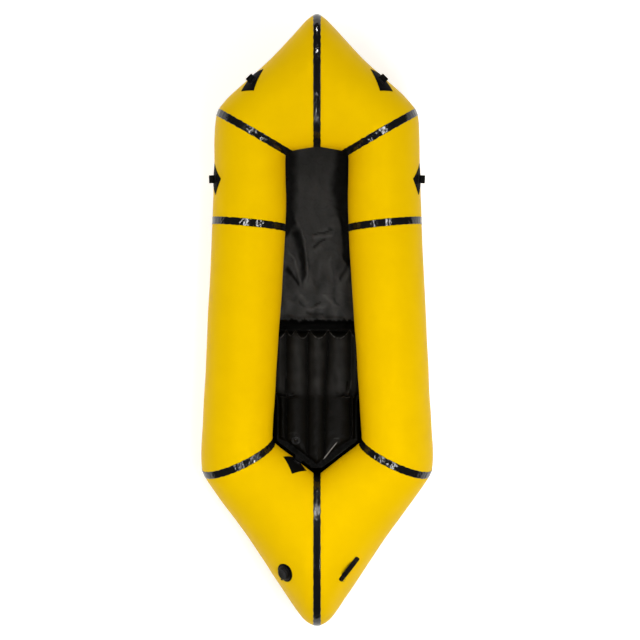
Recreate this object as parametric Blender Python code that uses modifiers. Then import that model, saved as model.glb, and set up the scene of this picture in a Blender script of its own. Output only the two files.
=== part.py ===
"""Packraft: a one-person inflatable boat with a folded seat and a press-button valve.

Metres, +Z up, bow along +Y, starboard along +X. The boat rests on the plane z = 0 and the origin
is under the middle of its bounding box. The hull is eight thin fabric panels, joined end to end
by seam tapes into one ring of tube, with a floor sheet welded under it.

The hull is worked out for the starboard half and mirrored. Two outlines seen from above, one
outside and one round the cockpit, are joined by slanted elliptical sections.
"""

import collections
import math

import bmesh
import bpy
import numpy as np
from mathutils import Matrix, Vector
from mathutils.bvhtree import BVHTree

# Hull, seen from above
LENGTH = 2.208
BEAM = 0.838
COCKPIT_LENGTH = 1.188
COCKPIT_WIDTH = 0.324
COCKPIT_FORWARD = 0.034

# Hull, seen from the side
SIDE_TUBE_HEIGHT = 0.262
BOW_TUBE_HEIGHT = 0.332
STERN_TUBE_HEIGHT = 0.310
BOW_LIFT = 0.072
STERN_LIFT = 0.028
BOW_NOSE_TILT = 0.030
STERN_TAIL_TILT = 0.014
BOW_RISE_FROM = 0.40
STERN_RISE_FROM = 0.47
MID_SEAM_LEAN = -0.006
STERN_SEAM_LEAN = 0.033

# Materials and welds
FABRIC_THICKNESS = 0.0006
FLOOR_THICKNESS = 0.001
TAPE_WIDTH = 0.0265
TAPE_THICKNESS = 0.0006
PATCH_THICKNESS = 0.0008
WEBBING_THICKNESS = 0.0018
GAP = 0.0003
LAID_GAP = 0.0007
OVERRUN = 0.004

# Tie loops
LOOP_WIDTH = 0.029
LOOP_REACH = 0.021
LOOP_BULK = 0.0115
PATCH_LENGTH = 0.114
PATCH_HEIGHT = 0.098
STERN_PATCH_LENGTH = 0.098
STERN_PATCH_HEIGHT = 0.112

# Grab handle
HANDLE_LENGTH = 0.106
HANDLE_WIDTH = 0.020
HANDLE_RISE = 0.018
HANDLE_WELD = 0.020
HANDLE_END_TAPER = 0.005

# Seat
SEAT_FRONT_Y = -0.031
SEAT_CREASE_Y = -0.275
SEAT_CREASE_HEIGHT = 0.036
SEAT_BASE_HALF_WIDTH = 0.171
SEAT_BASE_THICKNESS = 0.056
SEAT_TIP_CLEARANCE = 0.0266
SEAT_BACK_HALF_WIDTH = 0.146
SEAT_BACK_THICKNESS = 0.048
SEAT_BACK_LEAN = 27.0
CHANNEL_WIDTH = 0.076
CREASE_TAPER = 0.055
PAD_END_TAPER = 0.035
VALLEY_SHARE = 0.42
OUTER_CHANNEL_SHARE = 0.72
BACK_NARROW_FROM_SHARE = 0.62
BACK_END_SHARE = 0.13
SEAT_VALVE_PLACE_SHARE = 0.66

# Seat valve
SEAT_VALVE_FLANGE_RADIUS = 0.016
SEAT_VALVE_FLANGE_THICKNESS = 0.0012
SEAT_VALVE_STEM_RADIUS = 0.0052
SEAT_VALVE_BORE_RADIUS = 0.0032
SEAT_VALVE_STEM_HEIGHT = 0.013
NOZZLE_RADIUS = 0.0080
NOZZLE_HEIGHT = 0.011
NOZZLE_TIP = 0.003
NOZZLE_TIP_SHARE = 0.72

# Main valve
VALVE_PATCH_RADIUS = 0.0345
NECK_RADIUS = 0.0200
NECK_WALL = 0.0030
NECK_HEIGHT = 0.0105
NECK_DEPTH = 0.012
VALVE_FLANGE_RADIUS = 0.0290
VALVE_FLANGE_THICKNESS = 0.0016
SPOKE_DISC_THICKNESS = 0.003
SPOKE_DISC_DEPTH = 0.006
HUB_RADIUS = 0.0058
STEM_RADIUS = 0.0028
BUTTON_RADIUS = 0.0062
BUTTON_THICKNESS = 0.0026
BUTTON_RECESS = 0.0026
POPPET_RADIUS = 0.0182
POPPET_THICKNESS = 0.0018
SEAL_WIDTH = 0.0034
SEAL_THICKNESS = 0.0014
VENT_HOLE_RADIUS = 0.0034
VENT_HOLES = 6
SPRING_WIRE_RADIUS = 0.0004
SPRING_COIL_RADIUS = 0.0042
SPRING_TURNS = 4
TETHER_RING_WIDTH = 0.0036
TETHER_THICKNESS = 0.0016
TETHER_ARM_WIDTH = 0.010
CAP_WALL = 0.0030
CAP_TOP = 0.0026
CAP_HEADROOM = 0.0012
CAP_EDGE_SHARE = 0.90
CAP_HINGE_RADIUS = 0.0330
CAP_TAB_WIDTH = 0.0090
CAP_TAB_THICKNESS = 0.0022
VALVE_TETHER_HEADING = 228.0

# Outlines of the starboard half from bow to stern, x as a share of the half width and y as a
# share of the half length
HULL_OUTLINE_SHARES = (
    (0.000, 1.000), (0.048, 0.992), (0.097, 0.977), (0.224, 0.925), (0.352, 0.872),
    (0.497, 0.820), (0.733, 0.741), (0.802, 0.713), (0.855, 0.686), (0.876, 0.655),
    (0.884, 0.600), (0.888, 0.500), (0.901, 0.360), (0.918, 0.1915), (0.940, 0.034),
    (0.958, -0.123), (0.979, -0.280), (0.995, -0.385), (1.000, -0.450), (0.992, -0.492),
    (0.963, -0.516), (0.920, -0.541), (0.820, -0.594), (0.665, -0.673), (0.522, -0.751),
    (0.384, -0.830), (0.246, -0.908), (0.156, -0.959), (0.086, -0.987), (0.000, -1.000),
)
COCKPIT_OUTLINE_SHARES = (
    (0.000, 1.000), (0.060, 0.998), (0.340, 0.985), (0.610, 0.971), (0.672, 0.962), (0.700, 0.936),
    (0.702, 0.860), (0.692, 0.632), (0.726, 0.393), (0.771, 0.201), (0.815, 0.006),
    (0.870, -0.189), (0.915, -0.3835), (0.960, -0.578), (0.992, -0.715), (0.998, -0.765),
    (0.970, -0.798), (0.520, -0.892), (0.090, -0.984), (0.000, -1.000),
)

# Where each seam meets the cockpit outline and the hull outline, as shares of their half lengths
SEAM_Y_SHARES = ((1.0, 1.0), (0.966, 0.682), (0.506, 0.327), (-0.786, -0.501), (-1.0, -1.0))
SEAM_LEANS = (0.0, 0.0, MID_SEAM_LEAN, STERN_SEAM_LEAN, 0.0)
PANEL_NAMES = ("bow_panel", "fore_side_panel", "long_side_panel", "stern_panel")
PANEL_ROWS = (6, 2, 2, 6)
TAPE_NAMES = ("bow_seam_tape", "bow_corner_tape", "mid_tape", "stern_corner_tape", "stern_seam_tape")

# Places on the hull: y share of the outline that the piece is nearest to, the angle up the
# section in degrees, and how far the upper corner of the patch is skewed, as a share
BOW_LOOP_Y_SHARE = 0.794
BOW_LOOP_ANGLE = 25.0
BOW_PATCH_SKEW_SHARE = 0.20
SIDE_LOOP_Y_SHARE = 0.463
SIDE_LOOP_ANGLE = 16.0
STERN_LOOP_Y_SHARE = -0.905
STERN_LOOP_ANGLE = 166.0
STERN_PATCH_Y_SHARE = -0.899
STERN_PATCH_ANGLE = 157.5
STERN_PATCH_SKEW_SHARE = 0.10

# Places seen from above, as shares of the half beam and the half length
VALVE_PLACE_SHARES = (-0.276, -0.8235)
HANDLE_PLACE_SHARES = (0.276, -0.811)
HANDLE_HEADING = 52.0

# Counts
AROUND = 24
QUARTER = AROUND // 4
FLOOR_WRAP_CELLS = 2
TAPE_FIRST_STEP = -3
TAPE_LAST_STEP = 16
TAPE_FOOT_ANGLE = -57.5
CURVE_STEPS = 24
GUIDE_AROUND = 96
ROUND_STEPS = 28
SMALL_ROUND_STEPS = 16
VENT_STEPS = 12
PATCH_CELLS = 5
HANDLE_CELLS = 14
CHANNELS = 5
CHANNEL_CELLS = 4
PAD_CELLS = 9
LOOP_ARC_STEPS = 6
SPRING_POINTS_PER_TURN = 8

# Powers and shares that shape a curve
RISE_POWER = 1.2
HANDLE_ARCH_POWER = 0.6
CHANNEL_ROUND_POWER = 0.7
BELLY_FULLNESS = 2.0
PROBE_DEGREES = 1.0
FLOOR_MIDDLE_SHARES = (0.5, 0.0, -0.5)
PATCH_RING_SHARES = (0.0, 0.5, 1.0)

HALF_LENGTH = LENGTH / 2
HALF_BEAM = BEAM / 2
BASE_HEIGHT = GAP + FLOOR_THICKNESS
SEAM_SEARCH = 3 * TAPE_WIDTH
COCKPIT_STERN_Y = COCKPIT_FORWARD - COCKPIT_LENGTH / 2
SEAT_BACK_REACH = SEAT_CREASE_Y - COCKPIT_STERN_Y - SEAT_TIP_CLEARANCE
SEAT_BACK_LENGTH = SEAT_BACK_REACH / math.cos(math.radians(SEAT_BACK_LEAN))
STARBOARD = 1
PORT = -1

Row = collections.namedtuple("Row", "inner outer lean")
Section = collections.namedtuple("Section", "centre across up")


# Scene


def clear_scene():
    for old in list(bpy.data.objects):
        bpy.data.objects.remove(old, do_unlink=True)


def new_collection(name, hidden=False):
    collection = bpy.data.collections.new(name)
    bpy.context.scene.collection.children.link(collection)
    collection.hide_render = hidden
    return collection


def new_material(name, colour, roughness, metallic=0.0):
    material = bpy.data.materials.new(name)
    material.use_nodes = True
    shader = material.node_tree.nodes["Principled BSDF"]
    shader.inputs["Base Color"].default_value = (*colour, 1.0)
    shader.inputs["Roughness"].default_value = roughness
    shader.inputs["Metallic"].default_value = metallic
    return material


clear_scene()
PARTS = new_collection("packraft")
CUTTERS = new_collection("cutters", hidden=True)
YELLOW = new_material("yellow_fabric", (0.90, 0.58, 0.003), 0.38)
TAPE = new_material("black_tape", (0.008, 0.008, 0.008), 0.16)
FLOOR = new_material("floor_fabric", (0.020, 0.020, 0.021), 0.50)
SEAT = new_material("seat_fabric", (0.014, 0.014, 0.013), 0.42)
WEBBING = new_material("webbing", (0.012, 0.012, 0.011), 0.70)
PLASTIC = new_material("valve_plastic", (0.015, 0.015, 0.015), 0.40)
RUBBER = new_material("seal_rubber", (0.020, 0.020, 0.020), 0.80)
STEEL = new_material("spring_steel", (0.55, 0.55, 0.55), 0.25, 1.0)


def add_object(name, data, material):
    data.materials.append(material)
    piece = bpy.data.objects.new(name, data)
    PARTS.objects.link(piece)
    return piece


def grid_object(name, points, material, closed=False, flipped=False):
    """A sheet through a grid of points, facing along columns cross rows unless flipped."""
    rows, columns = points.shape[:2]
    work = bmesh.new()
    corners = [[work.verts.new(p) for p in row] for row in points]
    for i in range(rows - 1):
        for k in range(columns if closed else columns - 1):
            onward = (k + 1) % columns
            face = [corners[i][k], corners[i][onward], corners[i + 1][onward], corners[i + 1][k]]
            work.faces.new(reversed(face) if flipped else face)
    bmesh.ops.remove_doubles(work, verts=work.verts, dist=GAP / AROUND)
    mesh = bpy.data.meshes.new(name)
    work.to_mesh(mesh)
    work.free()
    mesh.shade_smooth()
    return add_object(name, mesh, material)


def thicken(piece, thickness, outward):
    solidify = piece.modifiers.new("thickness", "SOLIDIFY")
    solidify.thickness = thickness
    solidify.offset = 1 if outward else -1
    return piece


def turned_object(name, profile, material, steps=ROUND_STEPS):
    """A closed profile of (radius, height) points, down its outer side first, turned about Z."""
    work = bmesh.new()
    points = [work.verts.new((radius, 0, height)) for radius, height in profile]
    for i, point in enumerate(points):
        onward = points[(i + 1) % len(points)]
        if point.co.x or onward.co.x:
            work.edges.new((point, onward))
    mesh = bpy.data.meshes.new(name)
    work.to_mesh(mesh)
    work.free()
    piece = add_object(name, mesh, material)
    screw = piece.modifiers.new("turn", "SCREW")
    screw.steps = steps
    screw.render_steps = steps
    screw.use_merge_vertices = True
    screw.merge_threshold = GAP / AROUND
    screw.use_smooth_shade = True
    return piece


def ring_profile(inner, outer, low, high):
    return ((outer, high), (outer, low), (inner, low), (inner, high))


def cutter_cylinder(name, radius, low, high, frame, sideways=(0.0, 0.0), steps=ROUND_STEPS):
    bpy.ops.mesh.primitive_cylinder_add(vertices=steps, radius=radius, depth=high - low)
    cutter = bpy.context.object
    cutter.name = name
    for owner in list(cutter.users_collection):
        owner.objects.unlink(cutter)
    CUTTERS.objects.link(cutter)
    cutter.matrix_world = frame @ Matrix.Translation((*sideways, (low + high) / 2))
    cutter.hide_render = True
    cutter.display_type = "WIRE"
    return cutter


def cut(piece, cutter):
    boolean = piece.modifiers.new(cutter.name, "BOOLEAN")
    boolean.operation = "DIFFERENCE"
    boolean.object = cutter


def join_solid(piece, other):
    """Adds another closed solid to a piece with a Boolean, and lets it move with the piece."""
    boolean = piece.modifiers.new(other.name, "BOOLEAN")
    boolean.operation = "UNION"
    boolean.object = other
    other.parent = piece
    for owner in list(other.users_collection):
        owner.objects.unlink(other)
    CUTTERS.objects.link(other)
    other.hide_render = True
    other.display_type = "WIRE"


def box_object(name, low, high, material):
    work = bmesh.new()
    bmesh.ops.create_cube(work, size=1)
    size = Vector(high) - Vector(low)
    middle = (Vector(high) + Vector(low)) / 2
    bmesh.ops.scale(work, vec=size, verts=work.verts)
    bmesh.ops.translate(work, vec=middle, verts=work.verts)
    mesh = bpy.data.meshes.new(name)
    work.to_mesh(mesh)
    work.free()
    return add_object(name, mesh, material)


# Hull shape


class Outline:
    """A smooth curve of the starboard half, from the bow to the stern, measured by its arc."""

    def __init__(self, shares, half_width, half_length, forward):
        scale = np.array((half_width, half_length))
        knots = np.array(shares) * scale + np.array((0.0, forward))
        self.points = self.smooth(knots)
        steps = np.linalg.norm(np.diff(self.points, axis=0), axis=1)
        self.arc = np.concatenate(([0.0], np.cumsum(steps)))
        self.half_length = half_length
        self.forward = forward

    @staticmethod
    def smooth(knots):
        mirror = np.array((-1.0, 1.0))
        padded = np.vstack((knots[1] * mirror, knots, knots[-2] * mirror))
        spans = np.linalg.norm(np.diff(padded, axis=0), axis=1)
        slopes = (padded[2:] - padded[:-2]) / (spans[1:] + spans[:-1])[:, None]
        t = np.linspace(0, 1, CURVE_STEPS, endpoint=False)[:, None]
        pieces = []
        for i in range(len(knots) - 1):
            rise = 3 * t**2 - 2 * t**3
            leave = (t**3 - 2 * t**2 + t) * spans[i + 1]
            arrive = (t**3 - t**2) * spans[i + 1]
            pieces.append(
                (1 - rise) * knots[i] + rise * knots[i + 1] + leave * slopes[i] + arrive * slopes[i + 1]
            )
        return np.vstack((*pieces, knots[-1:]))

    def at(self, arc):
        return np.array([np.interp(arc, self.arc, self.points[:, i]) for i in range(2)])

    def arc_at_share(self, share):
        y = self.forward + share * self.half_length
        return float(np.interp(-y, -self.points[:, 1], self.arc))

    def arc_beside(self, near, start, onward, distance):
        """The arc near this one where the curve lies a distance onward from a straight line."""
        window = np.abs(self.arc - near) < SEAM_SEARCH
        offsets = (self.points[window] - start) @ onward
        return float(np.interp(distance, offsets, self.arc[window]))


HULL = Outline(HULL_OUTLINE_SHARES, HALF_BEAM, HALF_LENGTH, 0.0)
COCKPIT = Outline(COCKPIT_OUTLINE_SHARES, COCKPIT_WIDTH / 2, COCKPIT_LENGTH / 2, COCKPIT_FORWARD)
BOW_CENTRE_Y = (HALF_LENGTH + COCKPIT_FORWARD + COCKPIT_LENGTH / 2) / 2
STERN_CENTRE_Y = (HALF_LENGTH - COCKPIT_FORWARD + COCKPIT_LENGTH / 2) / 2


def onward_of(row):
    """The cockpit end of a row and the direction square to it, towards the stern."""
    start = COCKPIT.at(row.inner)
    chord = HULL.at(row.outer) - start
    chord /= np.linalg.norm(chord)
    return start, np.array((chord[1], -chord[0]))


def row_beside(seam, distance):
    start, onward = onward_of(seam)
    return Row(
        COCKPIT.arc_beside(seam.inner, start, onward, distance),
        HULL.arc_beside(seam.outer, start, onward, distance),
        seam.lean,
    )


def blend_rows(first, second, share):
    return Row(*(a + (b - a) * share for a, b in zip(first, second)))


def rise_share(distance, start, end):
    return min(max((distance - start) / (end - start), 0.0), 1.0) ** RISE_POWER


def section_of(row):
    """The ellipse of the tube at a row, as its centre and two half axes."""
    inner = COCKPIT.at(row.inner)
    outer = HULL.at(row.outer)
    middle = (inner + outer) / 2
    half = (outer - inner) / 2
    bow = rise_share(middle[1], BOW_RISE_FROM, BOW_CENTRE_Y)
    stern = rise_share(-middle[1], STERN_RISE_FROM, STERN_CENTRE_Y)
    height = (
        SIDE_TUBE_HEIGHT
        + (BOW_TUBE_HEIGHT - SIDE_TUBE_HEIGHT) * bow
        + (STERN_TUBE_HEIGHT - SIDE_TUBE_HEIGHT) * stern
    )
    tilt = BOW_NOSE_TILT * bow + STERN_TAIL_TILT * stern
    lift = BOW_LIFT * bow + STERN_LIFT * stern
    lean = onward_of(row)[1] * row.lean
    return Section(
        np.array((*middle, BASE_HEIGHT + lift + height / 2)),
        np.array((*half, tilt)),
        np.array((*lean, height / 2)),
    )


def ring_points(row, degrees):
    section = section_of(row)
    turn = np.radians(degrees)[:, None]
    return section.centre + section.across * np.cos(turn) + section.up * np.sin(turn)


def steps_to_degrees(steps):
    return np.asarray(steps) * 360.0 / AROUND


SEAMS = [
    Row(COCKPIT.arc_at_share(inner), HULL.arc_at_share(outer), lean)
    for (inner, outer), lean in zip(SEAM_Y_SHARES, SEAM_LEANS)
]


def panel_rows(index):
    """The rows of a panel, whose ends stop short of its seams, where the shells turn inward."""
    start, end = SEAMS[index], SEAMS[index + 1]
    first = row_beside(start, TAPE_WIDTH / 2)
    last = row_beside(end, -TAPE_WIDTH / 2)
    count = PANEL_ROWS[index]
    between = [blend_rows(first, last, (i + 1) / (count + 1)) for i in range(count)]
    short = GAP / 2 + FABRIC_THICKNESS
    return [row_beside(start, short), first, *between, last, row_beside(end, -short)]


ROWS_OF_PANELS = [panel_rows(i) for i in range(len(PANEL_NAMES))]


def main_rows():
    """Every row of the half hull from bow to stern, and the place of each seam in that list."""
    rows = []
    places = []
    for seam, panel in zip(SEAMS, ROWS_OF_PANELS):
        places.append(len(rows))
        rows.append(seam)
        rows.extend(panel[1:-1])
    places.append(len(rows))
    rows.append(SEAMS[-1])
    return rows, places


MAIN_ROWS, SEAM_PLACES = main_rows()


def with_mirror_ends(points):
    """Rows of points with one more at each end, mirrored across the centre plane."""
    mirror = np.array((-1.0, 1.0, 1.0))
    return np.concatenate((points[1:2] * mirror, points, points[-2:-1] * mirror))


def hull_normals(points):
    padded = with_mirror_ends(points)
    onward = padded[2:] - padded[:-2]
    around = np.roll(points, -1, axis=1) - np.roll(points, 1, axis=1)
    normals = np.cross(around, onward)
    return normals / np.linalg.norm(normals, axis=2, keepdims=True)


ALL_STEPS = np.arange(AROUND)
MAIN_POINTS = np.array([ring_points(row, steps_to_degrees(ALL_STEPS)) for row in MAIN_ROWS])
MAIN_NORMALS = hull_normals(MAIN_POINTS)


def sided(points, side):
    return points * np.array((side, 1.0, 1.0))


def side_name(name, side):
    return name + ("_right" if side == STARBOARD else "_left")


def build_panels():
    panels = {}
    for side in (PORT, STARBOARD):
        for index, name in enumerate(PANEL_NAMES):
            rows = ROWS_OF_PANELS[index]
            points = np.array([ring_points(row, steps_to_degrees(ALL_STEPS)) for row in rows])
            named = side_name(name, side)
            panel = grid_object(named, sided(points, side), YELLOW, True, side == PORT)
            panels[named] = thicken(panel, FABRIC_THICKNESS, outward=False)
    return panels


def tape_points(place):
    """The three rows of a tape, from its foot outside, over the top, to its foot inside."""
    steps = np.arange(TAPE_FIRST_STEP, TAPE_LAST_STEP + 1) % AROUND
    lifted = MAIN_POINTS + MAIN_NORMALS * GAP
    foot_share = (TAPE_FOOT_ANGLE / steps_to_degrees(1)) - (TAPE_FIRST_STEP - 1)
    low = lifted[:, (TAPE_FIRST_STEP - 1) % AROUND]
    foot = low + (lifted[:, TAPE_FIRST_STEP % AROUND] - low) * foot_share
    strip = np.concatenate((foot[:, None], lifted[:, steps]), axis=1)
    return with_mirror_ends(strip)[place : place + 3]


def build_tapes():
    for name, place in zip(TAPE_NAMES, SEAM_PLACES):
        points = tape_points(place)
        if place in (SEAM_PLACES[0], SEAM_PLACES[-1]):
            thicken(grid_object(name, points, TAPE), TAPE_THICKNESS, outward=True)
            continue
        for side in (PORT, STARBOARD):
            tape = grid_object(side_name(name, side), sided(points, side), TAPE, False, side == PORT)
            thicken(tape, TAPE_THICKNESS, outward=True)


def build_floor():
    """One sheet: flat between the tubes, and wrapped round under them to its outer edge."""
    steps = [FLOOR_WRAP_CELLS - QUARTER - i for i in range(FLOOR_WRAP_CELLS + 1)]
    wrap = (MAIN_POINTS + MAIN_NORMALS * BASE_HEIGHT)[:, steps]
    across = [wrap[:, -1] * np.array((share, 1.0, 1.0)) for share in FLOOR_MIDDLE_SHARES]
    port = sided(wrap, PORT)[:, ::-1]
    points = np.concatenate((wrap, np.stack(across, axis=1), port), axis=1)
    thicken(grid_object("floor_sheet", points, FLOOR, flipped=True), FLOOR_THICKNESS, outward=False)


def guide_tree():
    """The hull again with its sections rounder, for laying small pieces on it."""
    degrees = np.arange(GUIDE_AROUND) * 360.0 / GUIDE_AROUND
    half = np.array([ring_points(row, degrees) for row in MAIN_ROWS])
    vertices = []
    faces = []
    for side in (PORT, STARBOARD):
        first = len(vertices)
        vertices += [Vector(p) for p in sided(half, side).reshape(-1, 3)]
        for i in range(len(MAIN_ROWS) - 1):
            for k in range(GUIDE_AROUND):
                a = first + i * GUIDE_AROUND + k
                b = first + i * GUIDE_AROUND + (k + 1) % GUIDE_AROUND
                quad = (a, b, b + GUIDE_AROUND, a + GUIDE_AROUND)
                faces.append(quad if side == STARBOARD else quad[::-1])
    return BVHTree.FromPolygons(vertices, faces)


GUIDE = guide_tree()


def frame_at(place, normal, heading):
    """A frame on the hull: X along the heading, Z along the outward normal."""
    normal = Vector(normal).normalized()
    along = (Vector(heading) - normal * normal.dot(Vector(heading))).normalized()
    turned = Matrix((along, normal.cross(along), normal)).transposed().to_4x4()
    turned.translation = place
    return turned


def frame_on_section(outline, share, degrees, side):
    """The frame, level along the hull, where a row near a share of an outline passes an angle."""
    arcs = np.array([row.inner if outline is COCKPIT else row.outer for row in MAIN_ROWS])
    index = float(np.interp(outline.arc_at_share(share), arcs, np.arange(len(arcs))))
    low = min(int(index), len(MAIN_ROWS) - 2)
    span = (MAIN_ROWS[low], MAIN_ROWS[low + 1])
    turn = np.array((degrees - PROBE_DEGREES, degrees, degrees + PROBE_DEGREES))
    before, after = (ring_points(row, turn) for row in span)
    here = before + (after - before) * (index - low)
    normal = np.cross(here[2] - here[0], after[1] - before[1])
    normal = Vector(sided(normal, side))
    level = normal.cross(Vector((0, 0, 1)))
    astern = level.y < 0
    frame = frame_at(sided(here[1], side), normal, level if astern else -level)
    frame.translation = laid(frame, 0, 0, -LAID_GAP)
    return frame


def frame_from_above(shares, degrees):
    """The frame straight under a place seen from above, with its heading from +X in degrees."""
    start = Vector((shares[0] * HALF_BEAM, shares[1] * HALF_LENGTH, LENGTH))
    place, normal = GUIDE.ray_cast(start, Vector((0, 0, -1)))[:2]
    turn = math.radians(degrees)
    return frame_at(place, normal, (math.cos(turn), math.sin(turn), 0))


def laid(frame, x, y, lift):
    """A point of a frame's plane, dropped onto the hull and lifted square off it."""
    down = -frame.col[2].xyz
    start = frame @ Vector((x, y, HALF_BEAM / 2))
    place, normal = GUIDE.ray_cast(start, down)[:2]
    return place + normal * (lift + LAID_GAP)


def dropped(place, rise):
    """The place on the hull straight under or over this one, raised straight up."""
    place, normal = GUIDE.ray_cast(Vector((place.x, place.y, LENGTH)), Vector((0, 0, -1)))[:2]
    return place + normal * LAID_GAP + Vector((0, 0, rise))


# Tie loops and their patches


def build_patch(name, frame, length, height, skew_share):
    """A diamond of reinforcing fabric that follows the hull, its upper tip skewed astern."""
    upward = 1 if frame.col[1].z > 0 else -1
    tips = [Vector((-length / 2, 0)), Vector((skew_share * length, upward * height / 2))]
    tips += [-tips[0], -tips[1]]
    rows = []
    for i in range(PATCH_CELLS + 1):
        share = i / PATCH_CELLS
        start = tips[0].lerp(tips[1], share)
        end = tips[3].lerp(tips[2], share)
        line = [start.lerp(end, k / PATCH_CELLS) for k in range(PATCH_CELLS + 1)]
        rows.append([laid(frame, p.x, p.y, 0) for p in line])
    piece = grid_object(name, np.array(rows), WEBBING, flipped=upward < 0)
    return thicken(piece, PATCH_THICKNESS, outward=True)


def build_loop(name, frame):
    """A band of webbing bent into a flat ring, hinged where it is sewn to its patch."""
    radius = LOOP_BULK / 2
    root = LAID_GAP + PATCH_THICKNESS + GAP + radius
    reach = LOOP_REACH - 2 * radius
    ring = []
    for middle, first in ((reach, 0.0), (0.0, math.pi)):
        for i in range(LOOP_ARC_STEPS + 1):
            turn = first + math.pi * i / LOOP_ARC_STEPS
            ring.append((radius * math.cos(turn), middle + radius * math.sin(turn)))
    points = [[(x, y, z) for y, z in ring] for x in (-LOOP_WIDTH / 2, LOOP_WIDTH / 2)]
    loop = grid_object(name, np.array(points), WEBBING, closed=True)
    thicken(loop, WEBBING_THICKNESS, outward=False)
    loop.matrix_world = frame @ Matrix.Translation((0, 0, root))
    return loop


def build_loops():
    for side in (PORT, STARBOARD):
        frame = frame_on_section(HULL, BOW_LOOP_Y_SHARE, BOW_LOOP_ANGLE, side)
        patch = side_name("bow_loop_patch", side)
        build_patch(patch, frame, PATCH_LENGTH, PATCH_HEIGHT, BOW_PATCH_SKEW_SHARE)
        build_loop(side_name("bow_loop", side), frame)
        frame = frame_on_section(HULL, SIDE_LOOP_Y_SHARE, SIDE_LOOP_ANGLE, side)
        patch = side_name("side_loop_patch", side)
        build_patch(patch, frame, PATCH_LENGTH, PATCH_HEIGHT, 0.0)
        build_loop(side_name("side_loop", side), frame)
    frame = frame_on_section(COCKPIT, STERN_PATCH_Y_SHARE, STERN_PATCH_ANGLE, PORT)
    build_patch("stern_loop_patch", frame, STERN_PATCH_LENGTH, STERN_PATCH_HEIGHT, STERN_PATCH_SKEW_SHARE)
    build_loop("stern_loop", frame_on_section(COCKPIT, STERN_LOOP_Y_SHARE, STERN_LOOP_ANGLE, PORT))


# Grab handle


def build_handle():
    """A strap welded flat to the stern at both ends, straight from above, with room for fingers under it."""
    frame = frame_from_above(HANDLE_PLACE_SHARES, HANDLE_HEADING)
    turn = math.radians(HANDLE_HEADING)
    along = Vector((math.cos(turn), math.sin(turn), 0))
    aside = Vector((-along.y, along.x, 0)) * frame.col[2].z
    half = HANDLE_LENGTH / 2
    free = half - HANDLE_WELD
    rows = []
    for i in range(HANDLE_CELLS + 1):
        x = half * (2 * i / HANDLE_CELLS - 1)
        arch = math.cos(min(abs(x) / free, 1.0) * math.pi / 2)
        rise = HANDLE_RISE * max(arch, 0.0) ** HANDLE_ARCH_POWER
        end = max(abs(x) - (half - HANDLE_END_TAPER), 0.0) / HANDLE_END_TAPER
        width = HANDLE_WIDTH / 2 * (1 - end / 2)
        rows.append([dropped(frame.translation + along * x + aside * y, rise) for y in (-width, 0.0, width)])
    strap = grid_object("grab_handle", np.array(rows), WEBBING, flipped=True)
    thicken(strap, WEBBING_THICKNESS, outward=True)


# Seat


def channel_table(half_width):
    """Columns across a pad: their x, and how full the channel is there, from 0 to 1."""
    edges = [-half_width]
    edges += [CHANNEL_WIDTH * (i - (CHANNELS - 2) / 2) for i in range(CHANNELS - 1)]
    edges += [half_width]
    columns = []
    for i, (left, right) in enumerate(zip(edges, edges[1:])):
        for k in range(CHANNEL_CELLS):
            share = k / CHANNEL_CELLS
            valley = 0.0 if (i == 0 and k == 0) else VALLEY_SHARE
            full = valley + (1 - valley) * math.sin(math.pi * share) ** CHANNEL_ROUND_POWER
            if i in (0, CHANNELS - 1):
                full *= OUTER_CHANNEL_SHARE
            columns.append((left + (right - left) * share, full))
    columns.append((half_width, 0.0))
    return columns


def width_share(share, end_share):
    """How wide a pad is at a share of its length, narrowing over its last part."""
    narrowing = max(share - BACK_NARROW_FROM_SHARE, 0.0) / (1 - BACK_NARROW_FROM_SHARE)
    return 1 - (1 - end_share) * narrowing


def pad_object(name, length, half_width, thickness, belly, end_share):
    """An inflated pad that runs from y = 0 to -length, pinched along its whole edge.

    Its middle is the plane z = 0, and belly is how far it reaches below that."""
    columns = channel_table(half_width)
    tops = []
    bottoms = []
    for i in range(PAD_CELLS + 1):
        share = (1 - math.cos(math.pi * i / PAD_CELLS)) / 2
        y = -length * share
        swell = min(
            math.sin(min(share * length / CREASE_TAPER, 1.0) * math.pi / 2),
            math.sin(min((1 - share) * length / PAD_END_TAPER, 1.0) * math.pi / 2),
        )
        narrow = width_share(share, end_share)
        tops.append([(x * narrow, y, (thickness - belly) * full * swell) for x, full in columns])
        low = belly * swell
        bottoms.append([(x * narrow, y, -low * min(full * BELLY_FULLNESS, 1.0)) for x, full in columns])
    work = bmesh.new()
    for rows, flipped in ((tops, True), (bottoms, False)):
        corners = [[work.verts.new(p) for p in row] for row in rows]
        for i in range(PAD_CELLS):
            for k in range(len(columns) - 1):
                face = [corners[i][k], corners[i][k + 1], corners[i + 1][k + 1], corners[i + 1][k]]
                work.faces.new(reversed(face) if flipped else face)
    bmesh.ops.remove_doubles(work, verts=work.verts, dist=GAP / AROUND)
    mesh = bpy.data.meshes.new(name)
    work.to_mesh(mesh)
    work.free()
    mesh.shade_smooth()
    return add_object(name, mesh, SEAT)


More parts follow.
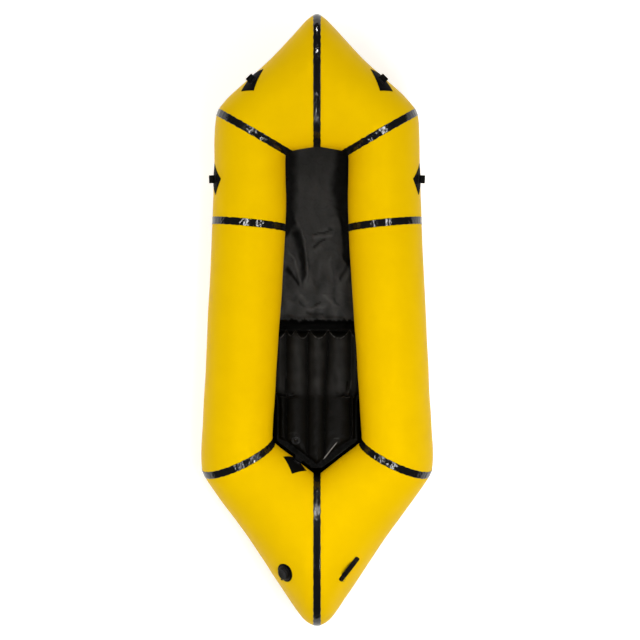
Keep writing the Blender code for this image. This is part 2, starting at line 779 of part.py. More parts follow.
def build_seat():
    """Two pads that meet at the crease: the base on the floor and the back leaning astern."""
    base_length = SEAT_FRONT_Y - SEAT_CREASE_Y - GAP / 2
    belly = SEAT_CREASE_HEIGHT - BASE_HEIGHT
    base = pad_object("seat_base", base_length, SEAT_BASE_HALF_WIDTH, SEAT_BASE_THICKNESS, belly, 1.0)
    turn = Matrix.Rotation(math.pi, 4, "Z")
    base.matrix_world = Matrix.Translation((0, SEAT_CREASE_Y + GAP / 2, SEAT_CREASE_HEIGHT)) @ turn
    back = pad_object(
        "seat_back",
        SEAT_BACK_LENGTH,
        SEAT_BACK_HALF_WIDTH,
        SEAT_BACK_THICKNESS,
        SEAT_BACK_THICKNESS / 2,
        BACK_END_SHARE,
    )
    lean = Matrix.Rotation(-math.radians(SEAT_BACK_LEAN), 4, "X")
    back.matrix_world = Matrix.Translation((0, SEAT_CREASE_Y - GAP / 2, SEAT_CREASE_HEIGHT)) @ lean
    return back


def build_seat_valve(back):
    """A twist valve on the seat back: its flange and stem are one moulding, and the nozzle slides."""
    place = Vector((-CHANNEL_WIDTH, -SEAT_BACK_LENGTH * SEAT_VALVE_PLACE_SHARE, SEAT_BACK_THICKNESS / 2))
    frame = back.matrix_world @ Matrix.Translation(place + Vector((0, 0, GAP)))
    flange = SEAT_VALVE_FLANGE_THICKNESS
    stem = turned_object(
        "seat_valve_stem",
        (
            (SEAT_VALVE_STEM_RADIUS, SEAT_VALVE_STEM_HEIGHT),
            (SEAT_VALVE_STEM_RADIUS, flange),
            (SEAT_VALVE_FLANGE_RADIUS, flange),
            (SEAT_VALVE_FLANGE_RADIUS, 0.0),
            (SEAT_VALVE_BORE_RADIUS, 0.0),
            (SEAT_VALVE_BORE_RADIUS, SEAT_VALVE_STEM_HEIGHT),
        ),
        PLASTIC,
        SMALL_ROUND_STEPS,
    )
    stem.matrix_world = frame
    low = flange + GAP
    high = low + NOZZLE_HEIGHT
    roof = SEAT_VALVE_STEM_HEIGHT + GAP
    skirt = SEAT_VALVE_STEM_RADIUS + GAP
    nozzle = turned_object(
        "seat_valve_nozzle",
        (
            (0.0, roof + NOZZLE_TIP),
            (NOZZLE_RADIUS * NOZZLE_TIP_SHARE, roof + NOZZLE_TIP),
            (NOZZLE_RADIUS, high),
            (NOZZLE_RADIUS, low),
            (skirt, low),
            (skirt, roof),
            (0.0, roof),
        ),
        PLASTIC,
        SMALL_ROUND_STEPS,
    )
    nozzle.matrix_world = frame


# Main valve


def valve_patch(frame):
    """The reinforcing disc, which follows the hull round the neck. Gives the height of its top."""
    inner = NECK_RADIUS + GAP
    rows = []
    for share in PATCH_RING_SHARES:
        radius = inner + (VALVE_PATCH_RADIUS - inner) * share
        ring = [2 * math.pi * k / ROUND_STEPS for k in range(ROUND_STEPS)]
        rows.append([laid(frame, radius * math.cos(t), radius * math.sin(t), 0) for t in ring])
    patch = grid_object("valve_patch", np.array(rows), PLASTIC, closed=True, flipped=True)
    thicken(patch, PATCH_THICKNESS, outward=True)
    into_frame = frame.inverted()
    return max((into_frame @ point).z for ring in rows for point in ring) + PATCH_THICKNESS


def build_valve(panel):
    frame = frame_from_above(VALVE_PLACE_SHARES, VALVE_TETHER_HEADING)
    cut(panel, cutter_cylinder("valve_hole", NECK_RADIUS + GAP, -OVERRUN, OVERRUN, frame))
    bore = NECK_RADIUS - NECK_WALL
    flange_low = valve_patch(frame) + GAP
    flange_high = flange_low + VALVE_FLANGE_THICKNESS
    base = turned_object(
        "valve_base",
        (
            (NECK_RADIUS, NECK_HEIGHT),
            (NECK_RADIUS, flange_high),
            (VALVE_FLANGE_RADIUS, flange_high),
            (VALVE_FLANGE_RADIUS, flange_low),
            (NECK_RADIUS, flange_low),
            (NECK_RADIUS, -NECK_DEPTH),
            (bore, -NECK_DEPTH),
            (bore, NECK_HEIGHT),
        ),
        PLASTIC,
    )
    disc_low = -SPOKE_DISC_DEPTH
    disc_high = disc_low + SPOKE_DISC_THICKNESS
    hub_bore = STEM_RADIUS + GAP
    housing = turned_object(
        "valve_housing",
        (
            (bore - GAP, disc_high),
            (bore - GAP, disc_low),
            (HUB_RADIUS, disc_low),
            (HUB_RADIUS, disc_low - SPOKE_DISC_THICKNESS),
            (hub_bore, disc_low - SPOKE_DISC_THICKNESS),
            (hub_bore, disc_high),
        ),
        PLASTIC,
    )
    vent_circle = (HUB_RADIUS + bore) / 2
    for i in range(VENT_HOLES):
        turn = 2 * math.pi * i / VENT_HOLES
        place = (vent_circle * math.cos(turn), vent_circle * math.sin(turn))
        low, high = disc_low - OVERRUN, disc_high + OVERRUN
        vent = cutter_cylinder(f"vent_{i}", VENT_HOLE_RADIUS, low, high, Matrix(), place, VENT_STEPS)
        vent.parent = housing
        cut(housing, vent)
    button_high = NECK_HEIGHT - BUTTON_RECESS
    button_low = button_high - BUTTON_THICKNESS
    poppet_high = -NECK_DEPTH - SEAL_THICKNESS - 2 * GAP
    poppet_low = poppet_high - POPPET_THICKNESS
    plunger = turned_object(
        "valve_plunger",
        (
            (0.0, button_high),
            (BUTTON_RADIUS, button_high),
            (BUTTON_RADIUS, button_low),
            (STEM_RADIUS, button_low),
            (STEM_RADIUS, poppet_high),
            (POPPET_RADIUS, poppet_high),
            (POPPET_RADIUS, poppet_low),
            (0.0, poppet_low),
        ),
        PLASTIC,
    )
    seal_high = -NECK_DEPTH - GAP
    seal = turned_object(
        "valve_seal",
        ring_profile(POPPET_RADIUS - SEAL_WIDTH, POPPET_RADIUS, seal_high - SEAL_THICKNESS, seal_high),
        RUBBER,
    )
    spring = build_spring(disc_high + GAP, button_low - GAP)
    tether_low = flange_high + GAP
    tether, cap = build_tether_and_cap(tether_low)
    for piece in (base, housing, plunger, seal, spring, tether, cap):
        piece.matrix_world = frame @ piece.matrix_world


def build_spring(low, high):
    """The return spring round the stem, between the spoked disc and the button."""
    bottom = low + SPRING_WIRE_RADIUS
    top = high - SPRING_WIRE_RADIUS
    count = SPRING_TURNS * SPRING_POINTS_PER_TURN
    curve = bpy.data.curves.new("valve_spring", "CURVE")
    curve.dimensions = "3D"
    curve.bevel_depth = SPRING_WIRE_RADIUS
    curve.bevel_resolution = 1
    curve.use_fill_caps = True
    wire = curve.splines.new("POLY")
    wire.points.add(count)
    for i in range(count + 1):
        turn = 2 * math.pi * i / SPRING_POINTS_PER_TURN
        height = bottom + (top - bottom) * i / count
        place = (SPRING_COIL_RADIUS * math.cos(turn), SPRING_COIL_RADIUS * math.sin(turn), height, 1)
        wire.points[i].co = place
    return add_object("valve_spring", curve, STEEL)


def build_tether_and_cap(low):
    """A ring that swivels on the neck, and the cap that hinges on the ring's arm."""
    inner = NECK_RADIUS + GAP
    outer = inner + TETHER_RING_WIDTH
    high = low + TETHER_THICKNESS
    tether = turned_object("valve_tether", ring_profile(inner, outer, low, high), RUBBER)
    middle = (inner + outer) / 2
    half = TETHER_ARM_WIDTH / 2
    arm = box_object("tether_arm", (middle, -half, low), (CAP_HINGE_RADIUS, half, high), RUBBER)
    join_solid(tether, arm)
    cap_low = high + GAP
    roof = NECK_HEIGHT + CAP_HEADROOM
    rim = inner + CAP_WALL
    cap = turned_object(
        "valve_cap",
        (
            (0.0, roof + CAP_TOP),
            (rim * CAP_EDGE_SHARE, roof + CAP_TOP),
            (rim, roof),
            (rim, cap_low),
            (inner, cap_low),
            (inner, roof),
            (0.0, roof),
        ),
        RUBBER,
    )
    half = CAP_TAB_WIDTH / 2
    tab_low = (inner + rim) / 2
    tab_high = cap_low + CAP_TAB_THICKNESS
    tab = box_object("cap_tab", (tab_low, -half, cap_low), (CAP_HINGE_RADIUS, half, tab_high), RUBBER)
    join_solid(cap, tab)
    return tether, cap


PANELS = build_panels()
build_tapes()
build_floor()
build_loops()
build_handle()
SEAT_BACK = build_seat()
build_seat_valve(SEAT_BACK)
build_valve(PANELS["stern_panel_left"])
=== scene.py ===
import collections
import math

import bpy
import numpy as np
from mathutils import Matrix, Vector
from mathutils.bvhtree import BVHTree


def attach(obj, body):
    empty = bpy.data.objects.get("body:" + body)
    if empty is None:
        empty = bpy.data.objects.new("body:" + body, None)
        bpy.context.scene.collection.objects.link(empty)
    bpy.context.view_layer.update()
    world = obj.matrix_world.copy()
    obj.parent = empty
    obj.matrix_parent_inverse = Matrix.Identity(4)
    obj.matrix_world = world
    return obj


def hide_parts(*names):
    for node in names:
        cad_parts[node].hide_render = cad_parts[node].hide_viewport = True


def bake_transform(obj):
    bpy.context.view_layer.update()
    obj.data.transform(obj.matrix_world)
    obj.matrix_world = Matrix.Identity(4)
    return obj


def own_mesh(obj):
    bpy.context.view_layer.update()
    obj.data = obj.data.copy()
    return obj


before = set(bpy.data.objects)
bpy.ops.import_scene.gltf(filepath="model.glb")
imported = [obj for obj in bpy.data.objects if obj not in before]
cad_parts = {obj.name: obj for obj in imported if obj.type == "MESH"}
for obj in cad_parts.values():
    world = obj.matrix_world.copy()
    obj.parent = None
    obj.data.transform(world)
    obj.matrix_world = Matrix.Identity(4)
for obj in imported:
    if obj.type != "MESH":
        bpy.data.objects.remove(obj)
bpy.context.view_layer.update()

# Hull, seen from above
LENGTH = 2.208
BEAM = 0.838
COCKPIT_LENGTH = 1.188
COCKPIT_WIDTH = 0.324
COCKPIT_FORWARD = 0.034

# Hull, seen from the side
SIDE_TUBE_HEIGHT = 0.262
BOW_TUBE_HEIGHT = 0.332
STERN_TUBE_HEIGHT = 0.310
BOW_LIFT = 0.072
STERN_LIFT = 0.028
BOW_NOSE_TILT = 0.030
STERN_TAIL_TILT = 0.014
BOW_RISE_FROM = 0.40
STERN_RISE_FROM = 0.47
MID_SEAM_LEAN = -0.006
STERN_SEAM_LEAN = 0.033
RISE_POWER = 1.2

# Thin materials
FABRIC = 0.0006
FLOOR_THICKNESS = 0.001
TAPE_WIDTH = 0.0265
TAPE_THICKNESS = 0.0006
PATCH_THICKNESS = 0.0008
WEBBING_THICKNESS = 0.0018
GAP = 0.0003
LAID_GAP = 0.0007
BASE_HEIGHT = GAP + FLOOR_THICKNESS

HULL_OUTLINE_SHARES = (
    (0.000, 1.000), (0.048, 0.992), (0.097, 0.977), (0.224, 0.925), (0.352, 0.872),
    (0.497, 0.820), (0.733, 0.741), (0.802, 0.713), (0.855, 0.686), (0.876, 0.655),
    (0.884, 0.600), (0.888, 0.500), (0.901, 0.360), (0.918, 0.1915), (0.940, 0.034),
    (0.958, -0.123), (0.979, -0.280), (0.995, -0.385), (1.000, -0.450), (0.992, -0.492),
    (0.963, -0.516), (0.920, -0.541), (0.820, -0.594), (0.665, -0.673), (0.522, -0.751),
    (0.384, -0.830), (0.246, -0.908), (0.156, -0.959), (0.086, -0.987), (0.000, -1.000),
)
COCKPIT_OUTLINE_SHARES = (
    (0.000, 1.000), (0.060, 0.998), (0.340, 0.985), (0.610, 0.971), (0.672, 0.962), (0.700, 0.936),
    (0.702, 0.860), (0.692, 0.632), (0.726, 0.393), (0.771, 0.201), (0.815, 0.006),
    (0.870, -0.189), (0.915, -0.3835), (0.960, -0.578), (0.992, -0.715), (0.998, -0.765),
    (0.970, -0.798), (0.520, -0.892), (0.090, -0.984), (0.000, -1.000),
)
SEAM_Y_SHARES = ((1.0, 1.0), (0.966, 0.682), (0.506, 0.327), (-0.786, -0.501), (-1.0, -1.0))
SEAM_LEANS = (0.0, 0.0, MID_SEAM_LEAN, STERN_SEAM_LEAN, 0.0)
PANEL_NAMES = ("bow_panel", "fore_side_panel", "long_side_panel", "stern_panel")
TAPE_NAMES = ("bow_seam_tape", "bow_corner_tape", "mid_tape", "stern_corner_tape", "stern_seam_tape")
PANEL_ROWS = (40, 34, 64, 54)
FLOOR_ROWS = (26, 90, 150, 26)
AROUND = 192
CURVE_STEPS = 96
HALF_LENGTH = LENGTH / 2
HALF_BEAM = BEAM / 2
SEAM_SEARCH = 3 * TAPE_WIDTH
NEAR_SEAM = (GAP / 2, 0.0035, 0.0075, TAPE_WIDTH / 2)
PINCH = 0.0012
PINCH_REACH = 0.011
PUCKER = 0.00022
PUCKER_REACH = 0.020
SEAM_PUCKER_SHARES = (0.5, 1.3, 0.9, 1.4, 0.6)
UNDULATION = 0.00045
SWELL_SEED = 5
SWELL_WAVES = 7
SWELL_LENGTHS = (0.09, 0.26)
PUCKER_SEED = 20
# how many waves, and the fewest and most periods of one in a turn
PUCKER_WAVES = (9, 24, 64)
ROW_CROWDING = 0.6
VALVE_HOLE_RADIUS = 0.0225
VALVE_HOLE_REACH = 0.05

TAPE_SHARES = np.linspace(-1, 1, 15)
TAPE_DEGREES = np.linspace(-57.5, 240, 330)
# seed, waves, fewest and most periods of the long, short, bunching, slanted and wandering ripple
TAPE_RIPPLES = ((60, 8, 12, 46), (80, 10, 70, 150), (100, 5, 3, 11), (120, 6, 30, 90), (140, 6, 18, 50))
TAPE_LONG_WRINKLE = 0.00028
TAPE_SLANTED_WRINKLE = 0.00016
TAPE_SHORT_WRINKLE = 0.00010
TAPE_LIFT_MOST = 0.0022
TAPE_SLANT = 6
TAPE_WANDER_SHARE = 0.035
# how far above their frames the small pieces are dropped onto the hull
LAID_FROM = 0.12
# further than any two places in plan lie apart
FAR = 9.0

Row = collections.namedtuple("Row", "inner outer lean")


# Materials

# how many features of each noise a metre of cloth, tape or moulding holds
CLOTH_PATCHES = 9.0
CLOTH_CREASES = 28.0
CLOTH_COAT = 60.0
CLOTH_RUBS = 130.0
CLOTH_GRAIN = 900.0
TAPE_PATCHES = 20.0
TAPE_POLISH = 70.0
TAPE_CRINKLES = 75.0
TAPE_FINE_CRINKLES = 260.0
MOULDING_PATCHES = 120.0
MOULDING_POLISH = 200.0
MOULDING_GRAIN = 2600.0

CLOTH_GRAIN_SHARE = 0.4
RUB_UNEVENNESS = 0.05
TAPE_CRINKLE_HEIGHT = 0.0005
TAPE_FINE_HEIGHT = 0.00006
MOULDING_LIGHTER_SHARE = 1.35
# the lightest that painted light and wear can make a place: how many times the light colour of its cloth
LIGHTEST_SHADING = 6.0
# a band texture turns so many radians in a metre at a scale of 1
BAND_RADIANS = 20


def grey(value):
    return (value, value, value)


def shader_input(material, name):
    return material.node_tree.nodes["Principled BSDF"].inputs[name]


def new_material(name, colour, roughness, specular, metallic=0.0):
    material = bpy.data.materials.new(name)
    material.use_nodes = True
    shader_input(material, "Base Color").default_value = (*colour, 1.0)
    shader_input(material, "Roughness").default_value = roughness
    shader_input(material, "Specular IOR Level").default_value = specular
    shader_input(material, "Metallic").default_value = metallic
    return material


def add_node(material, kind, **inputs):
    node = material.node_tree.nodes.new(kind)
    for name, value in inputs.items():
        node.inputs[name].default_value = value
    return node


def link(material, source, target):
    material.node_tree.links.new(source, target)


def attribute_of(material, name, output):
    node = add_node(material, "ShaderNodeAttribute")
    node.attribute_name = name
    return node.outputs[output]


def object_place(material):
    return add_node(material, "ShaderNodeTexCoord").outputs["Object"]


def noise(material, where, scale, detail=2.0, roughness=0.5, distortion=0.0):
    node = add_node(
        material, "ShaderNodeTexNoise", Scale=scale, Detail=detail, Roughness=roughness, Distortion=distortion
    )
    link(material, where, node.inputs["Vector"])
    return node.outputs["Fac"]


def bands(material, where, period, direction):
    scale = 2 * math.pi / (BAND_RADIANS * period)
    node = add_node(material, "ShaderNodeTexWave", Scale=scale, Distortion=0.0)
    node.wave_type = "BANDS"
    node.bands_direction = direction
    link(material, where, node.inputs["Vector"])
    return node.outputs["Fac"]


def math_node(material, operation, first, second):
    node = material.node_tree.nodes.new("ShaderNodeMath")
    node.operation = operation
    for socket, value in zip(node.inputs, (first, second)):
        if isinstance(value, float):
            socket.default_value = value
        else:
            link(material, value, socket)
    return node.outputs["Value"]


def weave(material, where, period):
    """Over-and-under threads: the difference of two crossed bands, from 0 to 1."""
    warp = bands(material, where, period, "X")
    weft = bands(material, where, period, "Y")
    return math_node(material, "ABSOLUTE", math_node(material, "SUBTRACT", warp, weft), 0.0)


def vary(material, name, fac, low, high):
    node = add_node(material, "ShaderNodeMapRange", **{"To Min": low, "To Max": high})
    link(material, fac, node.inputs["Value"])
    link(material, node.outputs["Result"], shader_input(material, name))


def vary_colour(material, fac, first, second, low=0.3, high=0.7):
    ramp = material.node_tree.nodes.new("ShaderNodeValToRGB")
    for stop, place, colour in zip(ramp.color_ramp.elements, (low, high), (first, second)):
        stop.position = place
        stop.color = (*colour, 1.0)
    link(material, fac, ramp.inputs["Fac"])
    link(material, ramp.outputs["Color"], shader_input(material, "Base Color"))


def bump(material, *layers):
    """Each layer is a height from 0 to 1 and how far in metres that stands out."""
    before = None
    for height, distance in layers:
        node = add_node(material, "ShaderNodeBump", Strength=1.0, Distance=distance)
        link(material, height, node.inputs["Height"])
        if before:
            link(material, before, node.inputs["Normal"])
        before = node.outputs["Normal"]
    link(material, before, shader_input(material, "Normal"))


def fabric_material(name, first, second, roughness, specular, period, relief, crease):
    """Coated cloth: a fine weave, faint soft creases and a slightly uneven coat."""
    material = new_material(name, first, sum(roughness) / 2, specular)
    place = object_place(material)
    vary_colour(material, noise(material, place, CLOTH_PATCHES, 3.0), first, second)
    vary(material, "Roughness", noise(material, place, CLOTH_COAT, 4.0, 0.6), *roughness)
    soft = noise(material, place, CLOTH_CREASES)
    threads = weave(material, attribute_of(material, "cloth", "Vector"), period)
    grain = noise(material, place, CLOTH_GRAIN)
    bump(material, (soft, crease), (threads, relief), (grain, relief * CLOTH_GRAIN_SHARE))
    return material


def shaded_and_worn_material(name, dark, light, **cloth):
    """Black cloth lightened by a point attribute of painted light and wear: painted highlights on crests and
    ridges, painted shade in hollows, and some random tone.
    """
    material = fabric_material(name, dark, light, **cloth)
    uneven = noise(material, object_place(material), CLOTH_RUBS, 3.0, 0.6)
    uneven = math_node(material, "MULTIPLY", math_node(material, "SUBTRACT", uneven, 0.5), RUB_UNEVENNESS)
    # painted light and shade from the point attribute, with a little random unevenness
    shading_and_wear = math_node(material, "ADD", attribute_of(material, "painted_light_and_wear", "Fac"), uneven)
    shading_and_wear = math_node(material, "POWER", shading_and_wear, 2.0)
    vary_colour(material, shading_and_wear, dark, tuple(c * LIGHTEST_SHADING for c in light), 0.0, 1.0)
    return material


def tape_material():
    material = new_material("black_gloss_tape", grey(0.0045), 0.12, 0.45)
    place = object_place(material)
    vary_colour(material, noise(material, place, TAPE_PATCHES), grey(0.0036), grey(0.0056))
    vary(material, "Roughness", noise(material, place, TAPE_POLISH, 3.0), 0.09, 0.17)
    crinkle = noise(material, place, TAPE_CRINKLES, 3.0, 0.55, distortion=0.6)
    fine = noise(material, place, TAPE_FINE_CRINKLES)
    bump(material, (crinkle, TAPE_CRINKLE_HEIGHT), (fine, TAPE_FINE_HEIGHT))
    return material


def moulded_material(name, colour, roughness, grain, metallic=0.0, specular=0.4):
    material = new_material(name, colour, sum(roughness) / 2, specular, metallic)
    place = object_place(material)
    lighter = tuple(c * MOULDING_LIGHTER_SHARE for c in colour)
    vary_colour(material, noise(material, place, MOULDING_PATCHES), colour, lighter)
    vary(material, "Roughness", noise(material, place, MOULDING_POLISH, 3.0), *roughness)
    bump(material, (noise(material, place, MOULDING_GRAIN), grain))
    return material


YELLOW = fabric_material(
    "yellow_coated_fabric", (0.79, 0.487, 0.0), (0.82, 0.511, 0.0),
    roughness=(0.40, 0.50), specular=0.08, period=0.0007, relief=0.000012, crease=0.0006,
)
shader_input(YELLOW, "Specular Tint").default_value = (1.0, 0.72, 0.0, 1.0)
FLOOR = shaded_and_worn_material(
    "black_floor_fabric", (0.0008, 0.0008, 0.0007), (0.082, 0.083, 0.084),
    roughness=(0.42, 0.58), specular=0.015, period=0.0009, relief=0.00006, crease=0.0004,
)
PATCH = fabric_material(
    "black_patch_fabric", grey(0.0018), grey(0.0032),
    roughness=(0.50, 0.62), specular=0.03, period=0.0008, relief=0.00004, crease=0.0005,
)
SEAT = shaded_and_worn_material(
    "black_seat_fabric", (0.0010, 0.0010, 0.0008), (0.042, 0.041, 0.039),
    roughness=(0.36, 0.48), specular=0.03, period=0.0007, relief=0.00003, crease=0.0003,
)
WEBBING = fabric_material(
    "black_webbing", grey(0.0022), (0.0040, 0.0040, 0.0038),
    roughness=(0.55, 0.75), specular=0.04, period=0.0018, relief=0.00025, crease=0.0002,
)
TAPE = tape_material()
PLASTIC = moulded_material(
    "valve_black_plastic", (0.0045, 0.0042, 0.0040), (0.26, 0.40), 0.00006, specular=0.16
)
SEAT_PLASTIC = moulded_material("seat_valve_plastic", grey(0.006), (0.42, 0.56), 0.00004, specular=0.12)
RUBBER = moulded_material("seal_black_rubber", (0.0042, 0.0040, 0.0038), (0.34, 0.52), 0.00010, specular=0.12)
STEEL = moulded_material("drawn_spring_steel", grey(0.50), (0.18, 0.32), 0.00001, metallic=1.0)
THREAD = moulded_material("black_sewing_thread", grey(0.020), (0.45, 0.65), 0.00008)


# Meshes


def add_piece(name, points, faces, material, body=None, cloth=None, replaced=(), painted_light_and_wear=None):
    mesh = bpy.data.meshes.new(name)
    mesh.from_pydata(np.asarray(points).reshape(-1, 3).tolist(), [], faces)
    mesh.shade_smooth()
    mesh.materials.append(material)
    if cloth is not None:
        attribute = mesh.attributes.new("cloth", "FLOAT_VECTOR", "POINT")
        flat = np.zeros((len(mesh.vertices), 3), np.float32)
        flat[:, :2] = np.asarray(cloth).reshape(-1, 2)
        attribute.data.foreach_set("vector", flat.ravel())
    # the point attribute of painted light and shade, with some wear
    if painted_light_and_wear is not None:
        attribute = mesh.attributes.new("painted_light_and_wear", "FLOAT", "POINT")
        shading_and_wear = np.sqrt(np.clip(painted_light_and_wear / LIGHTEST_SHADING, 0, 1))
        attribute.data.foreach_set("value", shading_and_wear.astype(np.float32).ravel())
    piece = bpy.data.objects.new(name, mesh)
    bpy.context.scene.collection.objects.link(piece)
    if body:
        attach(piece, body)
    if replaced:
        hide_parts(*replaced)
    return piece


def grid_faces(rows, columns, closed=False, flipped=False):
    last = columns if closed else columns - 1
    i, k = np.meshgrid(np.arange(rows - 1), np.arange(last), indexing="ij")
    onward = (k + 1) % columns
    here, beyond = i * columns, (i + 1) * columns
    quads = np.stack((here + k, here + onward, beyond + onward, beyond + k), -1).reshape(-1, 4)
    return (quads[:, ::-1] if flipped else quads).tolist()


def thicken(piece, thickness, outward):
    solidify = piece.modifiers.new("thickness", "SOLIDIFY")
    solidify.thickness = thickness
    solidify.offset = 1 if outward else -1


def lengths(points, axis):
    steps = np.linalg.norm(np.diff(points, axis=axis), axis=2)
    pad = [(0, 0), (0, 0)]
    pad[axis] = (1, 0)
    return np.pad(np.cumsum(steps, axis=axis), pad)


def cloth_places(points):
    return np.stack((lengths(points, 0), lengths(points, 1)), axis=-1)


def to_world(matrix, local):
    return np.asarray(local).reshape(-1, 3) @ np.array(matrix.to_3x3()).T + np.array(matrix.translation)


def capped_faces(rows, columns):
    """A tube's faces with one more over each end."""
    last = rows * columns
    ends = [list(range(columns)), list(range(last - 1, last - columns - 1, -1))]
    return grid_faces(rows, columns, True, True) + ends


# Fields over a plan


def smoothstep(value, low, high):
    t = np.clip((value - low) / (high - low), 0, 1)
    return t * t * (3 - 2 * t)


def bell(value, centre, width):
    return np.exp(-(((value - centre) / width) ** 2))


def line_ends(where, steepness):
    """1 along a line and falling to near 0 at both its ends."""
    return np.clip(np.sin(np.pi * np.clip(where, 0.02, 0.98)) * steepness, 0, 1)


def smooth_noise(x, y, seed, shortest, longest, count=14):
    rng = np.random.default_rng(seed)
    total = np.zeros(np.shape(x))
    for _ in range(count):
        turn = rng.uniform(0, 2 * math.pi)
        wave = 2 * math.pi / rng.uniform(shortest, longest)
        total += np.sin(wave * (x * math.cos(turn) + y * math.sin(turn)) + rng.uniform(0, 2 * math.pi))
    return total / math.sqrt(count / 2)


def polyline_distance(x, y, line):
    """The signed distance from a line, to its left above 0, and the share along it of the nearest point."""
    line = np.array(line)
    best = np.full(np.shape(x), FAR)
    where = np.zeros(np.shape(x))
    spans = np.linalg.norm(np.diff(line, axis=0), axis=1)
    before = np.concatenate(([0.0], np.cumsum(spans)))
    for a, b, span, start in zip(line[:-1], line[1:], spans, before):
        step = b - a
        t = np.clip(((x - a[0]) * step[0] + (y - a[1]) * step[1]) / span**2, 0, 1)
        gap = np.hypot(x - a[0] - t * step[0], y - a[1] - t * step[1])
        side = np.where(step[0] * (y - a[1]) - step[1] * (x - a[0]) < 0, -1.0, 1.0)
        closer = gap < np.abs(best)
        best = np.where(closer, gap * side, best)
        where = np.where(closer, (start + t * span) / before[-1], where)
    return best, where


# Hull shape


class Outline:
    """A smooth curve of the starboard half, from the bow to the stern, measured by its arc."""

    def __init__(self, shares, half_width, half_length, forward):
        knots = np.array(shares) * np.array((half_width, half_length)) + np.array((0.0, forward))
        self.points = self.smooth(knots)
        steps = np.linalg.norm(np.diff(self.points, axis=0), axis=1)
        self.arc = np.concatenate(([0.0], np.cumsum(steps)))
        self.half_length = half_length
        self.forward = forward

    @staticmethod
    def smooth(knots):
        mirror = np.array((-1.0, 1.0))
        padded = np.vstack((knots[1] * mirror, knots, knots[-2] * mirror))
        spans = np.linalg.norm(np.diff(padded, axis=0), axis=1)
        slopes = (padded[2:] - padded[:-2]) / (spans[1:] + spans[:-1])[:, None]
        t = np.linspace(0, 1, CURVE_STEPS, endpoint=False)[:, None]
        pieces = []
        for i in range(len(knots) - 1):
            rise = 3 * t**2 - 2 * t**3
            leave = (t**3 - 2 * t**2 + t) * spans[i + 1]
            arrive = (t**3 - t**2) * spans[i + 1]
            chord = (1 - rise) * knots[i] + rise * knots[i + 1]
            pieces.append(chord + leave * slopes[i] + arrive * slopes[i + 1])
        return np.vstack((*pieces, knots[-1:]))

    def at(self, arc):
        return np.array([np.interp(arc, self.arc, self.points[:, i]) for i in range(2)])

    def arc_at_share(self, share):
        y = self.forward + share * self.half_length
        return float(np.interp(-y, -self.points[:, 1], self.arc))

    def arc_beside(self, near, start, onward, distance):
        window = np.abs(self.arc - near) < SEAM_SEARCH
        offsets = (self.points[window] - start) @ onward
        return float(np.interp(distance, offsets, self.arc[window]))


HULL = Outline(HULL_OUTLINE_SHARES, HALF_BEAM, HALF_LENGTH, 0.0)
COCKPIT = Outline(COCKPIT_OUTLINE_SHARES, COCKPIT_WIDTH / 2, COCKPIT_LENGTH / 2, COCKPIT_FORWARD)
BOW_CENTRE_Y = (HALF_LENGTH + COCKPIT_FORWARD + COCKPIT_LENGTH / 2) / 2
STERN_CENTRE_Y = (HALF_LENGTH - COCKPIT_FORWARD + COCKPIT_LENGTH / 2) / 2
SEAMS = [
    Row(COCKPIT.arc_at_share(inner), HULL.arc_at_share(outer), lean)
    for (inner, outer), lean in zip(SEAM_Y_SHARES, SEAM_LEANS)
]


def onward_of(row):
    start = COCKPIT.at(row.inner)
    chord = HULL.at(row.outer) - start
    chord /= np.linalg.norm(chord)
    return start, np.array((chord[1], -chord[0]))


def row_beside(seam, distance):
    start, onward = onward_of(seam)
    inner = COCKPIT.arc_beside(seam.inner, start, onward, distance)
    return Row(inner, HULL.arc_beside(seam.outer, start, onward, distance), seam.lean)


def blend_rows(first, second, share):
    return Row(*(a + (b - a) * share for a, b in zip(first, second)))


def rise_share(distance, start, end):
    return min(max((distance - start) / (end - start), 0.0), 1.0) ** RISE_POWER


def section_of(row):
    """The ellipse of the tube at a row, as its centre and two half axes."""
    inner = COCKPIT.at(row.inner)
    outer = HULL.at(row.outer)
    middle = (inner + outer) / 2
    half = (outer - inner) / 2
    bow = rise_share(middle[1], BOW_RISE_FROM, BOW_CENTRE_Y)
    stern = rise_share(-middle[1], STERN_RISE_FROM, STERN_CENTRE_Y)
    height = SIDE_TUBE_HEIGHT
    height += (BOW_TUBE_HEIGHT - SIDE_TUBE_HEIGHT) * bow + (STERN_TUBE_HEIGHT - SIDE_TUBE_HEIGHT) * stern
    tilt = BOW_NOSE_TILT * bow + STERN_TAIL_TILT * stern
    lift = BOW_LIFT * bow + STERN_LIFT * stern
    lean = onward_of(row)[1] * row.lean
    centre = np.array((*middle, BASE_HEIGHT + lift + height / 2))
    return centre, np.array((*half, tilt)), np.array((*lean, height / 2))


def rings(rows, degrees):
    """Points of every row at these angles up its section."""
    sections = [section_of(row) for row in rows]
    centre, across, up = (np.array([s[i] for s in sections])[:, None] for i in range(3))
    turn = np.radians(degrees)[None, :, None]
    return centre + across * np.cos(turn) + up * np.sin(turn)


def grid_normals(points, closed):
    if closed:
        around = np.roll(points, -1, axis=1) - np.roll(points, 1, axis=1)
    else:
        around = np.gradient(points, axis=1)
    normals = np.cross(around, np.gradient(points, axis=0))
    return normals / np.linalg.norm(normals, axis=2, keepdims=True)


def ripple(seed, count, low, high):
    """A seeded sum of sines, about 1 high, with so many periods in one turn of its angle."""
    rng = np.random.default_rng(seed)
    turns = rng.integers(low, high, count)
    phases = rng.uniform(0, 2 * math.pi, count)
    sizes = rng.uniform(0.5, 1.0, count) / math.sqrt(count / 2)
    return lambda angle: np.sin(np.asarray(angle)[..., None] * turns + phases) @ sizes


